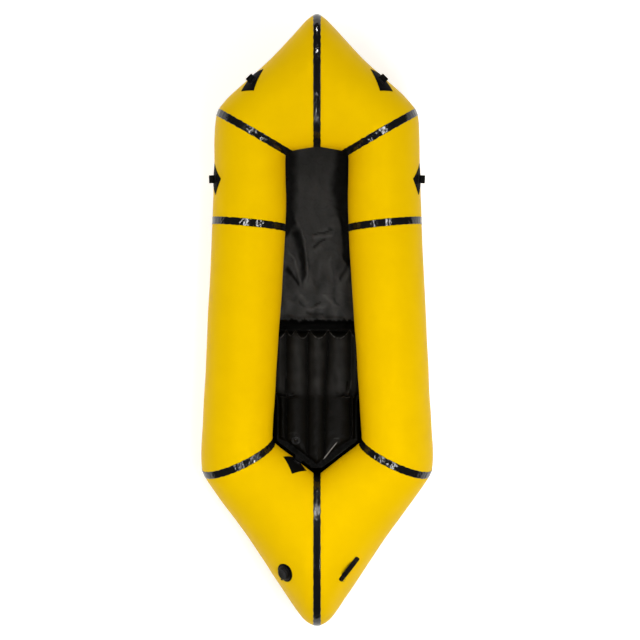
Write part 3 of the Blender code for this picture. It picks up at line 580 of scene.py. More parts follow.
def swell_at(points):
    """The faint low swell of inflated cloth, by its place."""
    rng = np.random.default_rng(SWELL_SEED)
    total = np.zeros(points.shape[:-1])
    for _ in range(SWELL_WAVES):
        wave = rng.normal(size=3)
        wave *= 2 * math.pi / rng.uniform(*SWELL_LENGTHS) / np.linalg.norm(wave)
        total += np.sin(points @ wave + rng.uniform(0, 2 * math.pi))
    return total * UNDULATION / 2


PUCKERS = [ripple(PUCKER_SEED + i, *PUCKER_WAVES) for i in range(2 * len(SEAMS))]


def pucker_at(seam, side, degrees, distance):
    run = PUCKERS[2 * seam + (side > 0)](np.radians(degrees))
    fall = np.exp(-distance / PUCKER_REACH)[:, None]
    return run[None, :] * fall * PUCKER * SEAM_PUCKER_SHARES[seam]


def panel_fine_rows(index):
    start, end = SEAMS[index], SEAMS[index + 1]
    lead = [row_beside(start, d) for d in NEAR_SEAM]
    tail = [row_beside(end, -d) for d in reversed(NEAR_SEAM)]
    count = PANEL_ROWS[index]
    shares = [(i + 1) / (count + 1) for i in range(count)]
    shares = [s - ROW_CROWDING * math.sin(2 * math.pi * s) / (2 * math.pi) for s in shares]
    return lead + [blend_rows(lead[-1], tail[0], s) for s in shares] + tail


DEGREES = -90 + np.arange(AROUND) * 360.0 / AROUND
PANEL_GRIDS = {}


def side_name(name, side):
    return name + ("_right" if side > 0 else "_left")


def cut_valve_hole(points, faces):
    kept = np.array(faces)
    centres = points.reshape(-1, 3)[kept].mean(axis=1) - np.array(VALVE_ORIGIN)
    axial = centres @ np.array(VALVE_UP)
    radial = np.linalg.norm(centres - axial[:, None] * np.array(VALVE_UP), axis=1)
    return kept[(radial > VALVE_HOLE_RADIUS) | (np.abs(axial) > VALVE_HOLE_REACH)].tolist()


def build_panel(index, side):
    name = side_name(PANEL_NAMES[index], side)
    rows = panel_fine_rows(index)
    points = rings(rows, DEGREES)
    normals = grid_normals(points, True)
    middles = points.mean(axis=1)
    along = np.concatenate(([0.0], np.cumsum(np.linalg.norm(np.diff(middles, axis=0), axis=1)))) + GAP / 2
    back = along[-1] + GAP / 2 - along
    mirror = np.array((side, 1.0, 1.0))
    points, normals = points * mirror, normals * mirror
    off = swell_at(points)
    off -= PINCH * (np.exp(-along / PINCH_REACH) + np.exp(-back / PINCH_REACH))[:, None]
    off += pucker_at(index, side, DEGREES, along) + pucker_at(index + 1, side, DEGREES, back)
    points = points + normals * off[..., None]
    PANEL_GRIDS[name] = points
    faces = grid_faces(len(rows), AROUND, True, side < 0)
    if name == "stern_panel_left":
        faces = cut_valve_hole(points, faces)
    cloth = cloth_places(points)
    piece = add_piece(name + "_skin", points, faces, YELLOW, "hull", cloth, [name])
    thicken(piece, FABRIC, False)


def tape_grid(seam, side):
    """A tape's points on the hull, from one edge to the other, and which way its grid faces."""
    rows = []
    for share in TAPE_SHARES:
        distance = share * TAPE_WIDTH / 2
        mirror = side
        if side == 0:
            distance = abs(distance) if seam == 0 else -abs(distance)
            mirror = -1.0 if share < 0 else 1.0
        ring = rings([row_beside(SEAMS[seam], distance)], TAPE_DEGREES)[0]
        rows.append(ring * np.array((mirror, 1.0, 1.0)))
    points = np.array(rows)
    if side:
        return points, side
    return (points if seam == 0 else points[::-1]), 1


def build_tape(seam, side):
    """A welded tape across a seam. Its edges wander a little and its middle is wrinkled."""
    name = side_name(TAPE_NAMES[seam], side) if side else TAPE_NAMES[seam]
    points, facing = tape_grid(seam, side)
    normals = grid_normals(points, False) * facing
    turn = np.radians(TAPE_DEGREES)
    signed = (TAPE_SHARES * TAPE_WIDTH / 2)[:, None]
    distance = np.abs(signed)
    off = swell_at(points) - PINCH * np.exp(-distance / PINCH_REACH)
    for this_side in (side,) if side else (-1, 1):
        pucker = pucker_at(seam, this_side, TAPE_DEGREES, distance[:, 0])
        off += pucker if side else np.where(signed * this_side >= 0, pucker, 0.0)
    shift = 3 * seam + (side or 1)
    long_wave, short_wave, bunching, slanted, wander = (
        ripple(seed + shift, *waves) for seed, *waves in TAPE_RIPPLES
    )
    bunched = np.clip(bunching(turn), 0, 2)
    lift = TAPE_LONG_WRINKLE * (1 + 0.5 * long_wave(turn))
    lift = lift + TAPE_SLANTED_WRINKLE * (1 + slanted(turn[None, :] + signed * TAPE_SLANT)) * (0.4 + bunched)
    lift += TAPE_SHORT_WRINKLE * bunched * (1 + short_wave(turn)) * np.cos(TAPE_SHARES * math.pi / 2)[:, None]
    off += GAP + np.clip(lift, 0.0, TAPE_LIFT_MOST)
    middle = points[len(TAPE_SHARES) // 2]
    wandering = 1 + TAPE_WANDER_SHARE * wander(turn)
    points = middle + (points - middle) * wandering[None, :, None] + normals * off[..., None]
    cloth = cloth_places(points)
    faces = grid_faces(len(TAPE_SHARES), len(TAPE_DEGREES), False, facing < 0)
    piece = add_piece(name + "_strip", points, faces, TAPE, "hull", cloth, [name])
    thicken(piece, TAPE_THICKNESS, True)


# The valve's frame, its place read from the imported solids


def solid_points(name):
    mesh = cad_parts[name].data
    points = np.empty(len(mesh.vertices) * 3, np.float32)
    mesh.vertices.foreach_get("co", points)
    return points.reshape(-1, 3).astype(float)


VALVE_UP = (-0.69535, -0.3434, 0.63132)
VALVE_ALONG = (-0.24246, -0.71485, -0.6559)
VALVE_ASIDE = (0.67653, -0.60915, 0.41381)
NECK_HEIGHT = 0.0105


def valve_origin():
    """Where the neck's axis meets the hull: its solid reaches a known height above that."""
    points = solid_points("valve_base")
    place = np.zeros(3)
    for axis in (VALVE_ALONG, VALVE_ASIDE):
        across = points @ np.array(axis)
        place += np.array(axis) * (across.max() + across.min()) / 2
    return place + np.array(VALVE_UP) * ((points @ np.array(VALVE_UP)).max() - NECK_HEIGHT)


VALVE_ORIGIN = valve_origin()


def frame_of(place, along, aside, up):
    turned = Matrix((along, aside, up)).transposed().to_4x4()
    turned.translation = Vector(place)
    return turned


VALVE_FRAME = frame_of(VALVE_ORIGIN, VALVE_ALONG, VALVE_ASIDE, VALVE_UP)

for _side in (-1, 1):
    for _index in range(len(PANEL_NAMES)):
        build_panel(_index, _side)
for _seam in range(len(SEAMS)):
    if _seam in (0, len(SEAMS) - 1):
        build_tape(_seam, 0)
    else:
        build_tape(_seam, -1)
        build_tape(_seam, 1)


def skin_tree():
    """The dressed hull as one surface, for laying small pieces on it."""
    vertices = []
    faces = []
    for name, points in PANEL_GRIDS.items():
        first = len(vertices)
        vertices += points.reshape(-1, 3).tolist()
        quads = np.array(grid_faces(points.shape[0], AROUND, True, name.endswith("_left"))) + first
        faces += quads.tolist()
    return BVHTree.FromPolygons(vertices, faces)


SKIN = skin_tree()


def laid(matrix, x, y, lift):
    down = -matrix.col[2].xyz
    start = matrix @ Vector((x, y, LAID_FROM))
    place, normal = SKIN.ray_cast(start, down)[:2]
    return place + normal * lift


def laid_grid(matrix, plan, lift):
    """Points of a plan grid dropped onto the hull, with their normals evened out."""
    rows, columns = plan.shape[:2]
    points = np.zeros((rows, columns, 3))
    for i in range(rows):
        for k in range(columns):
            points[i, k] = laid(matrix, plan[i, k, 0], plan[i, k, 1], 0.0)
    normals = grid_normals(points, False)
    up = np.array(matrix.col[2].xyz)
    normals *= np.sign((normals @ up))[..., None]
    return points + normals * np.asarray(lift)[..., None]


# Floor


FOLDS = (
    # points in plan, height, half width left and right of the line, share of it left at the end, how much
    # lighter: above 0 a lighter ridge, partly painted highlight and partly wear, below 0 painted shade in the
    # hollow
    (
        (
            (-0.0723, 0.368), (-0.0575, 0.327), (-0.045, 0.291), (-0.0395, 0.248), (-0.0365, 0.201),
            (-0.0365, 0.14),
        ),
        0.0085, 0.0022, 0.0085, 0.6, 0.34,
    ),
    (
        (
            (-0.09, 0.346), (-0.0825, 0.327), (-0.0662, 0.291), (-0.0568, 0.246), (-0.0499, 0.201),
            (-0.0477, 0.156), (-0.052, 0.122),
        ),
        0.0, 0.02, 0.02, 0.22, -0.62,
    ),
    (((-0.113, 0.258), (-0.089, 0.228), (-0.07, 0.185), (-0.056, 0.128)), 0.0065, 0.0055, 0.006, 0.7, 0.4),
    (((-0.12, 0.196), (-0.097, 0.174), (-0.064, 0.122)), 0.0, 0.011, 0.011, 0.35, -0.62),
    (((-0.0315, 0.268), (-0.031, 0.2), (-0.033, 0.13)), 0.0, 0.0016, 0.0016, 1.0, -0.16),
    (((0.0765, 0.338), (0.035, 0.3238), (-0.003, 0.315), (-0.016, 0.316)), 0.0, 0.0034, 0.0034, 1.0, -0.52),
    (((0.085, 0.352), (0.04, 0.332), (0.0, 0.325)), 0.003, 0.006, 0.004, 1.0, 0.12),
    (((-0.02, 0.302), (0.007, 0.303), (0.032, 0.304), (0.058, 0.312)), 0.005, 0.009, 0.006, 0.6, 0.26),
    (((0.034, 0.296), (0.007, 0.282), (-0.02, 0.262)), 0.0, 0.0042, 0.0042, 1.0, -0.5),
    (((0.022, 0.274), (0.0, 0.262), (-0.016, 0.246)), 0.004, 0.009, 0.006, 1.0, 0.14),
    (((0.12, 0.222), (0.101, 0.182), (0.083, 0.138)), 0.0, 0.009, 0.009, 0.5, -0.5),
    (((0.128, 0.205), (0.11, 0.158), (0.096, 0.125)), 0.006, 0.006, 0.011, 1.0, 0.16),
    (((-0.062, 0.096), (-0.046, 0.078), (-0.03, 0.06)), 0.005, 0.009, 0.009, 1.0, 0.3),
    (((-0.07, 0.072), (-0.056, 0.058), (-0.04, 0.048)), 0.0, 0.0045, 0.0045, 1.0, -0.34),
    (((-0.011, 0.052), (0.002, 0.06), (0.016, 0.066)), 0.0, 0.0036, 0.0036, 1.0, -0.5),
    (((0.02, 0.096), (0.042, 0.076), (0.062, 0.056)), 0.005, 0.01, 0.01, 1.0, 0.28),
    (((0.062, 0.084), (0.072, 0.066), (0.084, 0.052)), 0.0, 0.0045, 0.0045, 1.0, -0.3),
    (((-0.04, 0.036), (-0.01, 0.043), (0.036, 0.052)), 0.0035, 0.004, 0.004, 1.0, 0.34),
    (((-0.046, 0.026), (-0.01, 0.024), (0.032, 0.024)), 0.0, 0.006, 0.006, 1.0, -0.44),
    (((0.05, 0.245), (0.046, 0.19), (0.058, 0.13), (0.05, 0.095)), 0.0045, 0.008, 0.011, 1.0, 0.12),
    (((0.0, 0.225), (-0.006, 0.17), (0.006, 0.11)), 0.004, 0.007, 0.01, 1.0, -0.14),
    (((-0.11, 0.085), (-0.085, 0.07), (-0.07, 0.09)), 0.004, 0.007, 0.007, 1.0, -0.2),
    (
        (
            (-0.15, 0.006), (-0.1, 0.01), (-0.066, -0.002), (-0.03, 0.006), (0.05, 0.004), (0.1, 0.002),
            (0.15, 0.008),
        ),
        0.011, 0.008, 0.009, 1.0, -0.2,
    ),
)
# where the lit middle of the floor starts and ends across, by the distance along
FLOOR_LIT_FROM = (
    (0.17, -0.15), (0.27, -0.13), (0.3, -0.116), (0.322, -0.102), (0.35, -0.075), (0.372, -0.078),
    (0.64, -0.078),
)
FLOOR_LIT_TO = (
    (0.16, 0.15), (0.176, 0.13), (0.19, 0.118), (0.222, 0.096), (0.327, 0.088), (0.372, 0.078),
    (0.4, 0.068), (0.454, 0.056), (0.49, 0.05), (0.53, 0.058), (0.56, 0.066), (0.64, 0.07),
)

FLOOR_WARP = 0.0016
FLOOR_WARP_LENGTHS = (0.03, 0.08)
FLOOR_FADE = 0.005
FLOOR_BOW_FADE = 0.013
FLOOR_PATCH_LENGTHS = (0.035, 0.12)
FLOOR_SHADE_LIGHTNESS = 0.06
FLOOR_LIT_LIGHTNESS = 0.40
FLOOR_BOW_SHADE = 0.14
FLOOR_LIT_RISE = 0.0035
FOLD_SHARPNESS = 2.0
HOLLOW_SHARPNESS = 3.5
FOLD_END_STEEPNESS = 2.6
FLOOR_HOLLOW = 0.0020
FLOOR_RIDGE = 0.0022
FLOOR_RIDGE_LENGTHS = (0.035, 0.11)
FLOOR_UNEVENNESS = 0.0008
FLOOR_UNEVEN_LENGTHS = (0.02, 0.06)
FLOOR_EDGE_WANDER = 0.0022
FLOOR_EDGE_LENGTHS = (0.012, 0.05)
FLOOR_EDGE_NOTCH = 0.006
FLOOR_RELIEF_MOST = 0.016
FLOOR_WRAP_DEGREES = np.linspace(-60, -90, 7)
FLOOR_WRAP_LIGHTNESS = 0.3
FLOOR_COLUMNS = 129


def floor_relief(x, y):
    """How far the slack floor cloth is raised, and its painted light and shade with some wear, at places in
    plan.
    """
    warp_x = x + FLOOR_WARP * smooth_noise(x, y, 31, *FLOOR_WARP_LENGTHS)
    warp_y = y + FLOOR_WARP * smooth_noise(x, y, 32, *FLOOR_WARP_LENGTHS)
    start, end = (np.interp(warp_y, *np.array(side).T) for side in (FLOOR_LIT_FROM, FLOOR_LIT_TO))
    fade = FLOOR_FADE + FLOOR_BOW_FADE * smoothstep(y, 0.345, 0.420)
    lit = smoothstep(warp_x, start - fade, start + fade) * (1 - smoothstep(warp_x, end - fade, end + fade))
    patchy = smooth_noise(warp_x, warp_y * 0.7, 35, *FLOOR_PATCH_LENGTHS, 10)
    rear = 1 - smoothstep(y, 0.15, 0.32)
    uneven = (0.02 + 0.06 * rear) * patchy
    # painted light: a lit middle, sides painted in shade, darker towards the bow, with random patches
    painted_light_and_wear = FLOOR_SHADE_LIGHTNESS + lit * (FLOOR_LIT_LIGHTNESS + uneven - FLOOR_BOW_SHADE * smoothstep(y, 0.44, 0.58))
    relief = FLOOR_LIT_RISE * lit
    for line, height, left, right, taper, shading_and_wear in FOLDS:
        gap, where = polyline_distance(warp_x, warp_y, line)
        width = np.where(gap > 0, left, right) * (1 - (1 - taper) * where)
        sharpness = FOLD_SHARPNESS if height else HOLLOW_SHARPNESS
        fold = line_ends(where, FOLD_END_STEEPNESS) * np.exp(-(np.abs(gap / width) ** sharpness))
        relief += (height or -FLOOR_HOLLOW) * fold
        # ridges lighter, partly painted highlight and partly wear; hollows darkened with painted shade
        if shading_and_wear > 0:
            painted_light_and_wear = painted_light_and_wear + shading_and_wear * fold * (0.35 + 0.65 * lit)
        else:
            painted_light_and_wear = painted_light_and_wear * (1 + max(shading_and_wear * 1.5, -0.97) * fold)
    ridged = np.clip(1 - np.abs(smooth_noise(warp_x, warp_y, 33, *FLOOR_RIDGE_LENGTHS, 10)), 0, 1)
    uneven = 1 + 0.5 * smooth_noise(x, y, 34, *FLOOR_UNEVEN_LENGTHS)
    relief += FLOOR_RIDGE * ridged**2 + FLOOR_UNEVENNESS * uneven
    # painted highlight along the random ridges of the lit middle
    painted_light_and_wear += (0.015 + 0.06 * rear) * (ridged**3 - 0.3) * lit
    # painted shadow on the floor in front of the seat, behind a wandering edge with a notch
    edge = 0.0015 + FLOOR_EDGE_WANDER * smooth_noise(x, y * 0, 36, *FLOOR_EDGE_LENGTHS)
    edge = edge - FLOOR_EDGE_NOTCH * bell(x, -0.065, 0.006)
    painted_light_and_wear *= smoothstep(y, edge - 0.001, edge + 0.002)
    return np.clip(relief, 0, FLOOR_RELIEF_MOST), painted_light_and_wear


def floor_rows():
    """Rows from the bow to the stern, with one on each seam and one beside each tape's edges."""
    rows = []
    for index, count in enumerate(FLOOR_ROWS):
        start, end = SEAMS[index], SEAMS[index + 1]
        first = row_beside(start, TAPE_WIDTH / 2) if index else start
        last = row_beside(end, -TAPE_WIDTH / 2) if index < len(FLOOR_ROWS) - 1 else end
        if index:
            rows.append(start)
        rows += [first] + [blend_rows(first, last, (i + 1) / (count + 1)) for i in range(count)] + [last]
    return rows


def build_floor():
    wrap = rings(floor_rows(), FLOOR_WRAP_DEGREES)
    normals = grid_normals(wrap, False)
    normals *= np.sign(normals[..., 2:3]) * -1
    wrap = wrap + normals * BASE_HEIGHT
    shares = np.linspace(1, -1, FLOOR_COLUMNS + 2)[1:-1]
    middle = wrap[:, -1][:, None] * np.stack((shares, np.ones_like(shares), np.ones_like(shares)), -1)[None]
    x, y = middle[..., 0], middle[..., 1]
    inside = np.clip((1 - np.abs(shares)) / 0.25, 0, 1)[None] * np.clip((0.60 - y) / 0.08, 0, 1)
    inside = inside * np.clip((y + 0.016) / 0.016, 0, 1)
    relief, shading_and_wear = floor_relief(x, y)
    middle[..., 2] += relief * inside**0.7
    painted_light_and_wear = np.full((middle.shape[0], middle.shape[1] + 2 * wrap.shape[1]), FLOOR_WRAP_LIGHTNESS)
    painted_light_and_wear[:, wrap.shape[1] : -wrap.shape[1]] = shading_and_wear
    points = np.concatenate((wrap, middle, (wrap * np.array((-1.0, 1.0, 1.0)))[:, ::-1]), axis=1)
    cloth = points[..., :2]
    faces = grid_faces(points.shape[0], points.shape[1], False, True)
    piece = add_piece(
        "floor_fabric_sheet", points, faces, FLOOR, "hull", cloth, ["floor_sheet"], painted_light_and_wear
    )
    thicken(piece, FLOOR_THICKNESS, False)


build_floor()


# Patches and tie loops


STERN_PATCH_PLACE = (-0.07813, -0.51542, 0.21)
STERN_PATCH_ALONG = (0.84933, -0.52786, 0.0)
STERN_PATCH_OUT = (0.47295, 0.76098, 0.44411)
LOOPS = (
    # name, body, joint place, along, outward, patch length, patch height, skew
    (
        "bow_loop_left", "bow_tie_left", (-0.23725, 0.86932, 0.29562),
        (-0.71034, -0.70386, 0.0), (-0.63109, 0.6369, 0.44282), 0.114, 0.098, 0.20,
    ),
    (
        "bow_loop_right", "bow_tie_right", (0.23725, 0.86932, 0.29562),
        (0.71034, -0.70386, 0.0), (0.63109, 0.6369, 0.44282), 0.114, 0.098, 0.20,
    ),
    (
        "side_loop_left", "side_tie_left", (-0.37537, 0.51045, 0.18726),
        (0.04691, -0.9989, 0.0), (-0.96088, -0.04513, 0.27328), 0.114, 0.098, 0.0,
    ),
    (
        "side_loop_right", "side_tie_right", (0.37539, 0.51045, 0.18726),
        (-0.04691, -0.9989, 0.0), (0.96088, -0.04513, 0.27328), 0.114, 0.098, 0.0,
    ),
    (
        "stern_loop", "stern_tie", (-0.06873, -0.50416, 0.19004),
        (0.82928, -0.55883, 0.0), (0.53695, 0.79681, 0.27711), 0.098, 0.112, 0.10,
    ),
)
PATCH_CELLS = 26
PATCH_UNEVENNESS = 0.00035
PATCH_UNEVEN_LENGTHS = (0.012, 0.035)
PATCH_LIFT_LEAST = 0.0004
PATCH_RIM_SHARE = 0.1
PATCH_RIM_DROP = 0.0003

LOOP_WIDTH = 0.029
LOOP_REACH = 0.021
LOOP_RADIUS = 0.00575
LOOP_ROOT = LAID_GAP + PATCH_THICKNESS + GAP + LOOP_RADIUS
LOOP_HALF_STEPS = 22
LOOP_ACROSS_SHARES = (-1, -0.93, -0.8, -0.5, -0.2, 0.2, 0.5, 0.8, 0.93, 1)
# the webbing thins over its outer edges, from here out, both as shares of its width
LOOP_THIN_FROM = 0.44
LOOP_THIN_SHARE = 0.06
LOOP_EDGE_SHRINK = 0.035
LOOP_SAG = 0.05
LOOP_SAG_TURN = 9

# the sewn feet of a loop: where they start and end, and where their stitches do
FOOT_SPAN = (0.0048, 0.0205)
FOOT_STITCH_SPAN = (0.0068, 0.0182)
FOOT_GAP = 0.0004
FOOT_LIFT = LAID_GAP + PATCH_THICKNESS + FOOT_GAP
FOOT_ROWS = 13
FOOT_COLUMNS = 9

STITCH_INSET = 0.003
STITCH_LIFT = 0.0001
HANDLE_STITCH_LIFT = 0.0002
STITCH_PITCH = 0.0031
STITCH_FROM = 0.14
STITCH_TO = 0.86
STITCH_RADIUS = 0.00036
STITCH_SIDES = 6
# how thick a stitch is, as a share, by the share along it
STITCH_THICKNESS_SHARES = ((0.0, 0.35), (0.15, 0.85), (0.5, 1.0), (0.85, 0.85), (1.0, 0.35))


def patch_name(name):
    for ending in ("_left", "_right"):
        if name.endswith(ending):
            return name[: -len(ending)] + "_patch" + ending
    return name + "_patch"


def build_patch(name, matrix, length, height, skew):
    upward = 1 if matrix.col[1].z > 0 else -1
    tips = [Vector((-length / 2, 0)), Vector((skew * length, upward * height / 2))]
    tips += [-tips[0], -tips[1]]
    count = PATCH_CELLS + 1
    plan = np.zeros((count, count, 2))
    for i in range(count):
        start = tips[0].lerp(tips[1], i / PATCH_CELLS)
        end = tips[3].lerp(tips[2], i / PATCH_CELLS)
        for k in range(count):
            plan[i, k] = start.lerp(end, k / PATCH_CELLS)
    share = np.linspace(-1, 1, count)
    rim = np.maximum(np.abs(share)[:, None], np.abs(share)[None, :])
    uneven = smooth_noise(plan[..., 0], plan[..., 1], 41, *PATCH_UNEVEN_LENGTHS)
    lift = np.maximum(LAID_GAP + PATCH_UNEVENNESS * uneven * (1 - rim), PATCH_LIFT_LEAST)
    lift = lift - PATCH_RIM_DROP * np.clip((rim - (1 - PATCH_RIM_SHARE)) / PATCH_RIM_SHARE, 0, 1)
    points = laid_grid(matrix, plan, lift)
    faces = grid_faces(count, count, False, upward < 0)
    piece = add_piece(
        name + "_diamond", points, faces, PATCH, "hull", plan, [patch_name(name)]
    )
    thicken(piece, PATCH_THICKNESS, True)


def stitch(start, end, up):
    """One short thread stitch, thickest in its middle, as points and faces."""
    along = (end - start).normalized()
    aside = along.cross(up).normalized()
    over = aside.cross(along)
    points = []
    for share, size in STITCH_THICKNESS_SHARES:
        centre = start.lerp(end, share)
        for k in range(STITCH_SIDES):
            turn = 2 * math.pi * k / STITCH_SIDES
            points.append(centre + (aside * math.cos(turn) + over * math.sin(turn)) * STITCH_RADIUS * size)
    return points, capped_faces(len(STITCH_THICKNESS_SHARES), STITCH_SIDES)


def sew_box(name, matrix, corners, lift):
    """Stitches round a box and along its two diagonals."""
    a, b, c, d = (Vector(corner) for corner in corners)
    points = []
    faces = []
    for start, end in ((a, b), (b, c), (c, d), (d, a), (a, c), (b, d)):
        count = max(round((end - start).length / STITCH_PITCH), 1)
        for i in range(count):
            low = start.lerp(end, (i + STITCH_FROM) / count)
            high = start.lerp(end, (i + STITCH_TO) / count)
            ends = [laid(matrix, spot.x, spot.y, lift) for spot in (low, high)]
            more, quads = stitch(*ends, matrix.col[2].xyz)
            faces += [[index + len(points) for index in quad] for quad in quads]
            points += [tuple(p) for p in more]
    add_piece(name, np.array(points), faces, THREAD, "hull")


def build_foot(label, matrix, sign):
    """One sewn foot of a loop, flat on its patch, with its box of stitches."""
    across = np.linspace(-1, 1, FOOT_ROWS) * LOOP_WIDTH / 2
    plan = np.stack(np.meshgrid(across, sign * np.linspace(*FOOT_SPAN, FOOT_COLUMNS), indexing="ij"), -1)
    points = laid_grid(matrix, plan, np.full(plan.shape[:2], FOOT_LIFT))
    faces = grid_faces(FOOT_ROWS, FOOT_COLUMNS, False, sign < 0)
    foot = add_piece(label, points, faces, WEBBING, "hull", plan)
    thicken(foot, WEBBING_THICKNESS, True)
    x = LOOP_WIDTH / 2 - STITCH_INSET
    near, far = (sign * end for end in FOOT_STITCH_SPAN)
    corners = ((-x, near), (x, near), (x, far), (-x, far))
    sew_box(label + "_stitches", matrix, corners, FOOT_LIFT + WEBBING_THICKNESS + STITCH_LIFT)


def build_loop(name, body, place, axis, outward, length, height, skew):
    along = Vector(axis).normalized()
    up = Vector(outward).normalized()
    matrix = frame_of(Vector(place) - up * LOOP_ROOT, along, up.cross(along), up)
    carrier = matrix
    if name == "stern_loop":
        patch_along, patch_out = Vector(STERN_PATCH_ALONG), Vector(STERN_PATCH_OUT)
        carrier = frame_of(STERN_PATCH_PLACE, patch_along, patch_out.cross(patch_along), patch_out)
    build_patch(name, carrier, length, height, skew)
    steps = LOOP_HALF_STEPS
    turns = np.concatenate((np.linspace(0, math.pi, steps), np.linspace(math.pi, 2 * math.pi, steps)))
    middles = np.concatenate((np.full(steps, LOOP_REACH - 2 * LOOP_RADIUS), np.zeros(steps)))
    ring_y = LOOP_RADIUS * np.cos(turns)
    ring_z = middles + LOOP_RADIUS * np.sin(turns)
    widths = np.array(LOOP_ACROSS_SHARES) * LOOP_WIDTH / 2
    thin = (np.abs(widths) - LOOP_WIDTH * LOOP_THIN_FROM) / (LOOP_WIDTH * LOOP_THIN_SHARE)
    thin = np.clip(thin, 0, 1)
    points = np.zeros((len(widths), len(turns), 3))
    for i, x in enumerate(widths):
        shrink = 1 - LOOP_EDGE_SHRINK * thin[i]
        sag = 1 - LOOP_SAG * (1 + math.sin(LOOP_SAG_TURN * x / LOOP_WIDTH)) * (ring_z / LOOP_REACH)
        points[i] = np.stack((np.full(len(turns), x), ring_y * shrink * sag, ring_z), -1)
    root = matrix.copy()
    root.translation = matrix @ Vector((0, 0, LOOP_ROOT))
    ring_arc = np.concatenate(([0.0], np.cumsum(np.hypot(np.diff(ring_y), np.diff(ring_z)))))
    cloth = np.stack(np.meshgrid(widths, ring_arc, indexing="ij"), -1)
    faces = grid_faces(len(widths), len(turns), True)
    world = to_world(root, points)
    loop = add_piece(name + "_webbing", world, faces, WEBBING, body, cloth, [name])
    thicken(loop, WEBBING_THICKNESS, False)
    build_foot(name + "_foot_a", matrix, -1)
    build_foot(name + "_foot_b", matrix, 1)


for _loop in LOOPS:
    build_loop(*_loop)


# Grab handle


HANDLE_HEADING = 52.0
HANDLE_PLACE_SHARES = (0.276, -0.811)
HANDLE_SLOPE = 0.692
HANDLE_LENGTH = 0.106
HANDLE_WIDTH = 0.0245
HANDLE_RISE = 0.018
HANDLE_WELD = 0.020
HANDLE_END_TAPER = 0.005
HANDLE_STITCH_END = 0.004
HANDLE_ROWS = 61
HANDLE_ACROSS_SHARES = (-1, -0.94, -0.8, -0.5, -0.2, 0.2, 0.5, 0.8, 0.94, 1.0)
HANDLE_ARCH_POWER = 0.6
# how unevenly the arch rises: how much as a share, and how it turns across and along
HANDLE_SWAY = 0.04
HANDLE_SWAY_ACROSS = 2.2
HANDLE_SWAY_ALONG = 90


def dropped_on_hull(x, y):
    return SKIN.ray_cast(Vector((x, y, 1.0)), Vector((0, 0, -1)))[:2]


def build_handle():
    turn = math.radians(HANDLE_HEADING)
    along = Vector((math.cos(turn), math.sin(turn), 0))
    aside = Vector((-along.y, along.x, 0))
    middle = Vector((HANDLE_PLACE_SHARES[0] * HALF_BEAM, HANDLE_PLACE_SHARES[1] * HALF_LENGTH, 0))
    half = HANDLE_LENGTH / 2
    free = half - HANDLE_WELD
    xs = half * np.sin(np.linspace(-1, 1, HANDLE_ROWS) * math.pi / 2)
    plan = np.zeros((len(xs), len(HANDLE_ACROSS_SHARES), 2))
    points = np.zeros((*plan.shape[:2], 3))
    for i, x in enumerate(xs):
        end = max(abs(x) - (half - HANDLE_END_TAPER), 0.0) / HANDLE_END_TAPER
        width = HANDLE_WIDTH / 2 * (1 - end**2 / 2)
        arch = max(math.cos(min(abs(x) / free, 1.0) * math.pi / 2), 0.0) ** HANDLE_ARCH_POWER
        for k, share in enumerate(HANDLE_ACROSS_SHARES):
            spot = middle + along * x + aside * (share * width * HANDLE_SLOPE)
            place, normal = dropped_on_hull(spot.x, spot.y)
            sway = math.sin(share * HANDLE_SWAY_ACROSS + HANDLE_SWAY_ALONG * x)
            rise = HANDLE_RISE * arch * (1 + HANDLE_SWAY * sway)
            points[i, k] = place + normal * LAID_GAP + Vector((0, 0, rise))
            plan[i, k] = (share * width, x)
    faces = grid_faces(*plan.shape[:2])
    strap = add_piece("grab_handle_strap", points, faces, WEBBING, "hull", plan, ["grab_handle"])
    thicken(strap, WEBBING_THICKNESS, True)
    place, normal = dropped_on_hull(middle.x, middle.y)
    over = (along - normal * normal.dot(along)).normalized()
    matrix = frame_of(place, over, normal.cross(over), normal)
    y = HANDLE_WIDTH / 2 - STITCH_INSET
    for sign, ending in ((-1, "a"), (1, "b")):
        near, far = sign * (free + STITCH_INSET), sign * (half - HANDLE_STITCH_END)
        corners = ((near, -y), (far, -y), (far, y), (near, y))
        lift = LAID_GAP + WEBBING_THICKNESS + HANDLE_STITCH_LIFT
        sew_box("grab_handle_stitches_" + ending, matrix, corners, lift)


build_handle()


# Seat


SEAT_FRONT_Y = -0.031
SEAT_CREASE_Y = -0.275
SEAT_CREASE_HEIGHT = 0.036
SEAT_BASE_HALF_WIDTH = 0.171
SEAT_BASE_TOP = 0.0568
SEAT_BACK_LENGTH = 0.290
SEAT_BACK_HALF_WIDTH = 0.146
SEAT_BACK_HALF_THICKNESS = 0.0237
SEAT_BACK_LEAN = 27.0
SEAT_NARROW_FROM = 0.62
SEAT_END_HALF_WIDTH = 0.018
SEAT_FRONT_HEIGHT = 0.017
SEAT_BEND_HALF = 0.026
SEAT_CORNER = 0.030
SEAT_FLANGE = 0.010
SEAT_END_FLANGE = 0.024
VALLEYS = (-0.1105, -0.0345, 0.0415, 0.1205)
VALLEY_SHARE = 0.24
# places across where the front is pinched, and how far back the front of a full channel reaches
SEAT_TIPS = (-0.1110, -0.0790, -0.0265, 0.0398, 0.1194)
SEAT_FRONT_DEPTH = 0.036
SEAT_COLUMNS = 190
SEAT_ROWS = 215
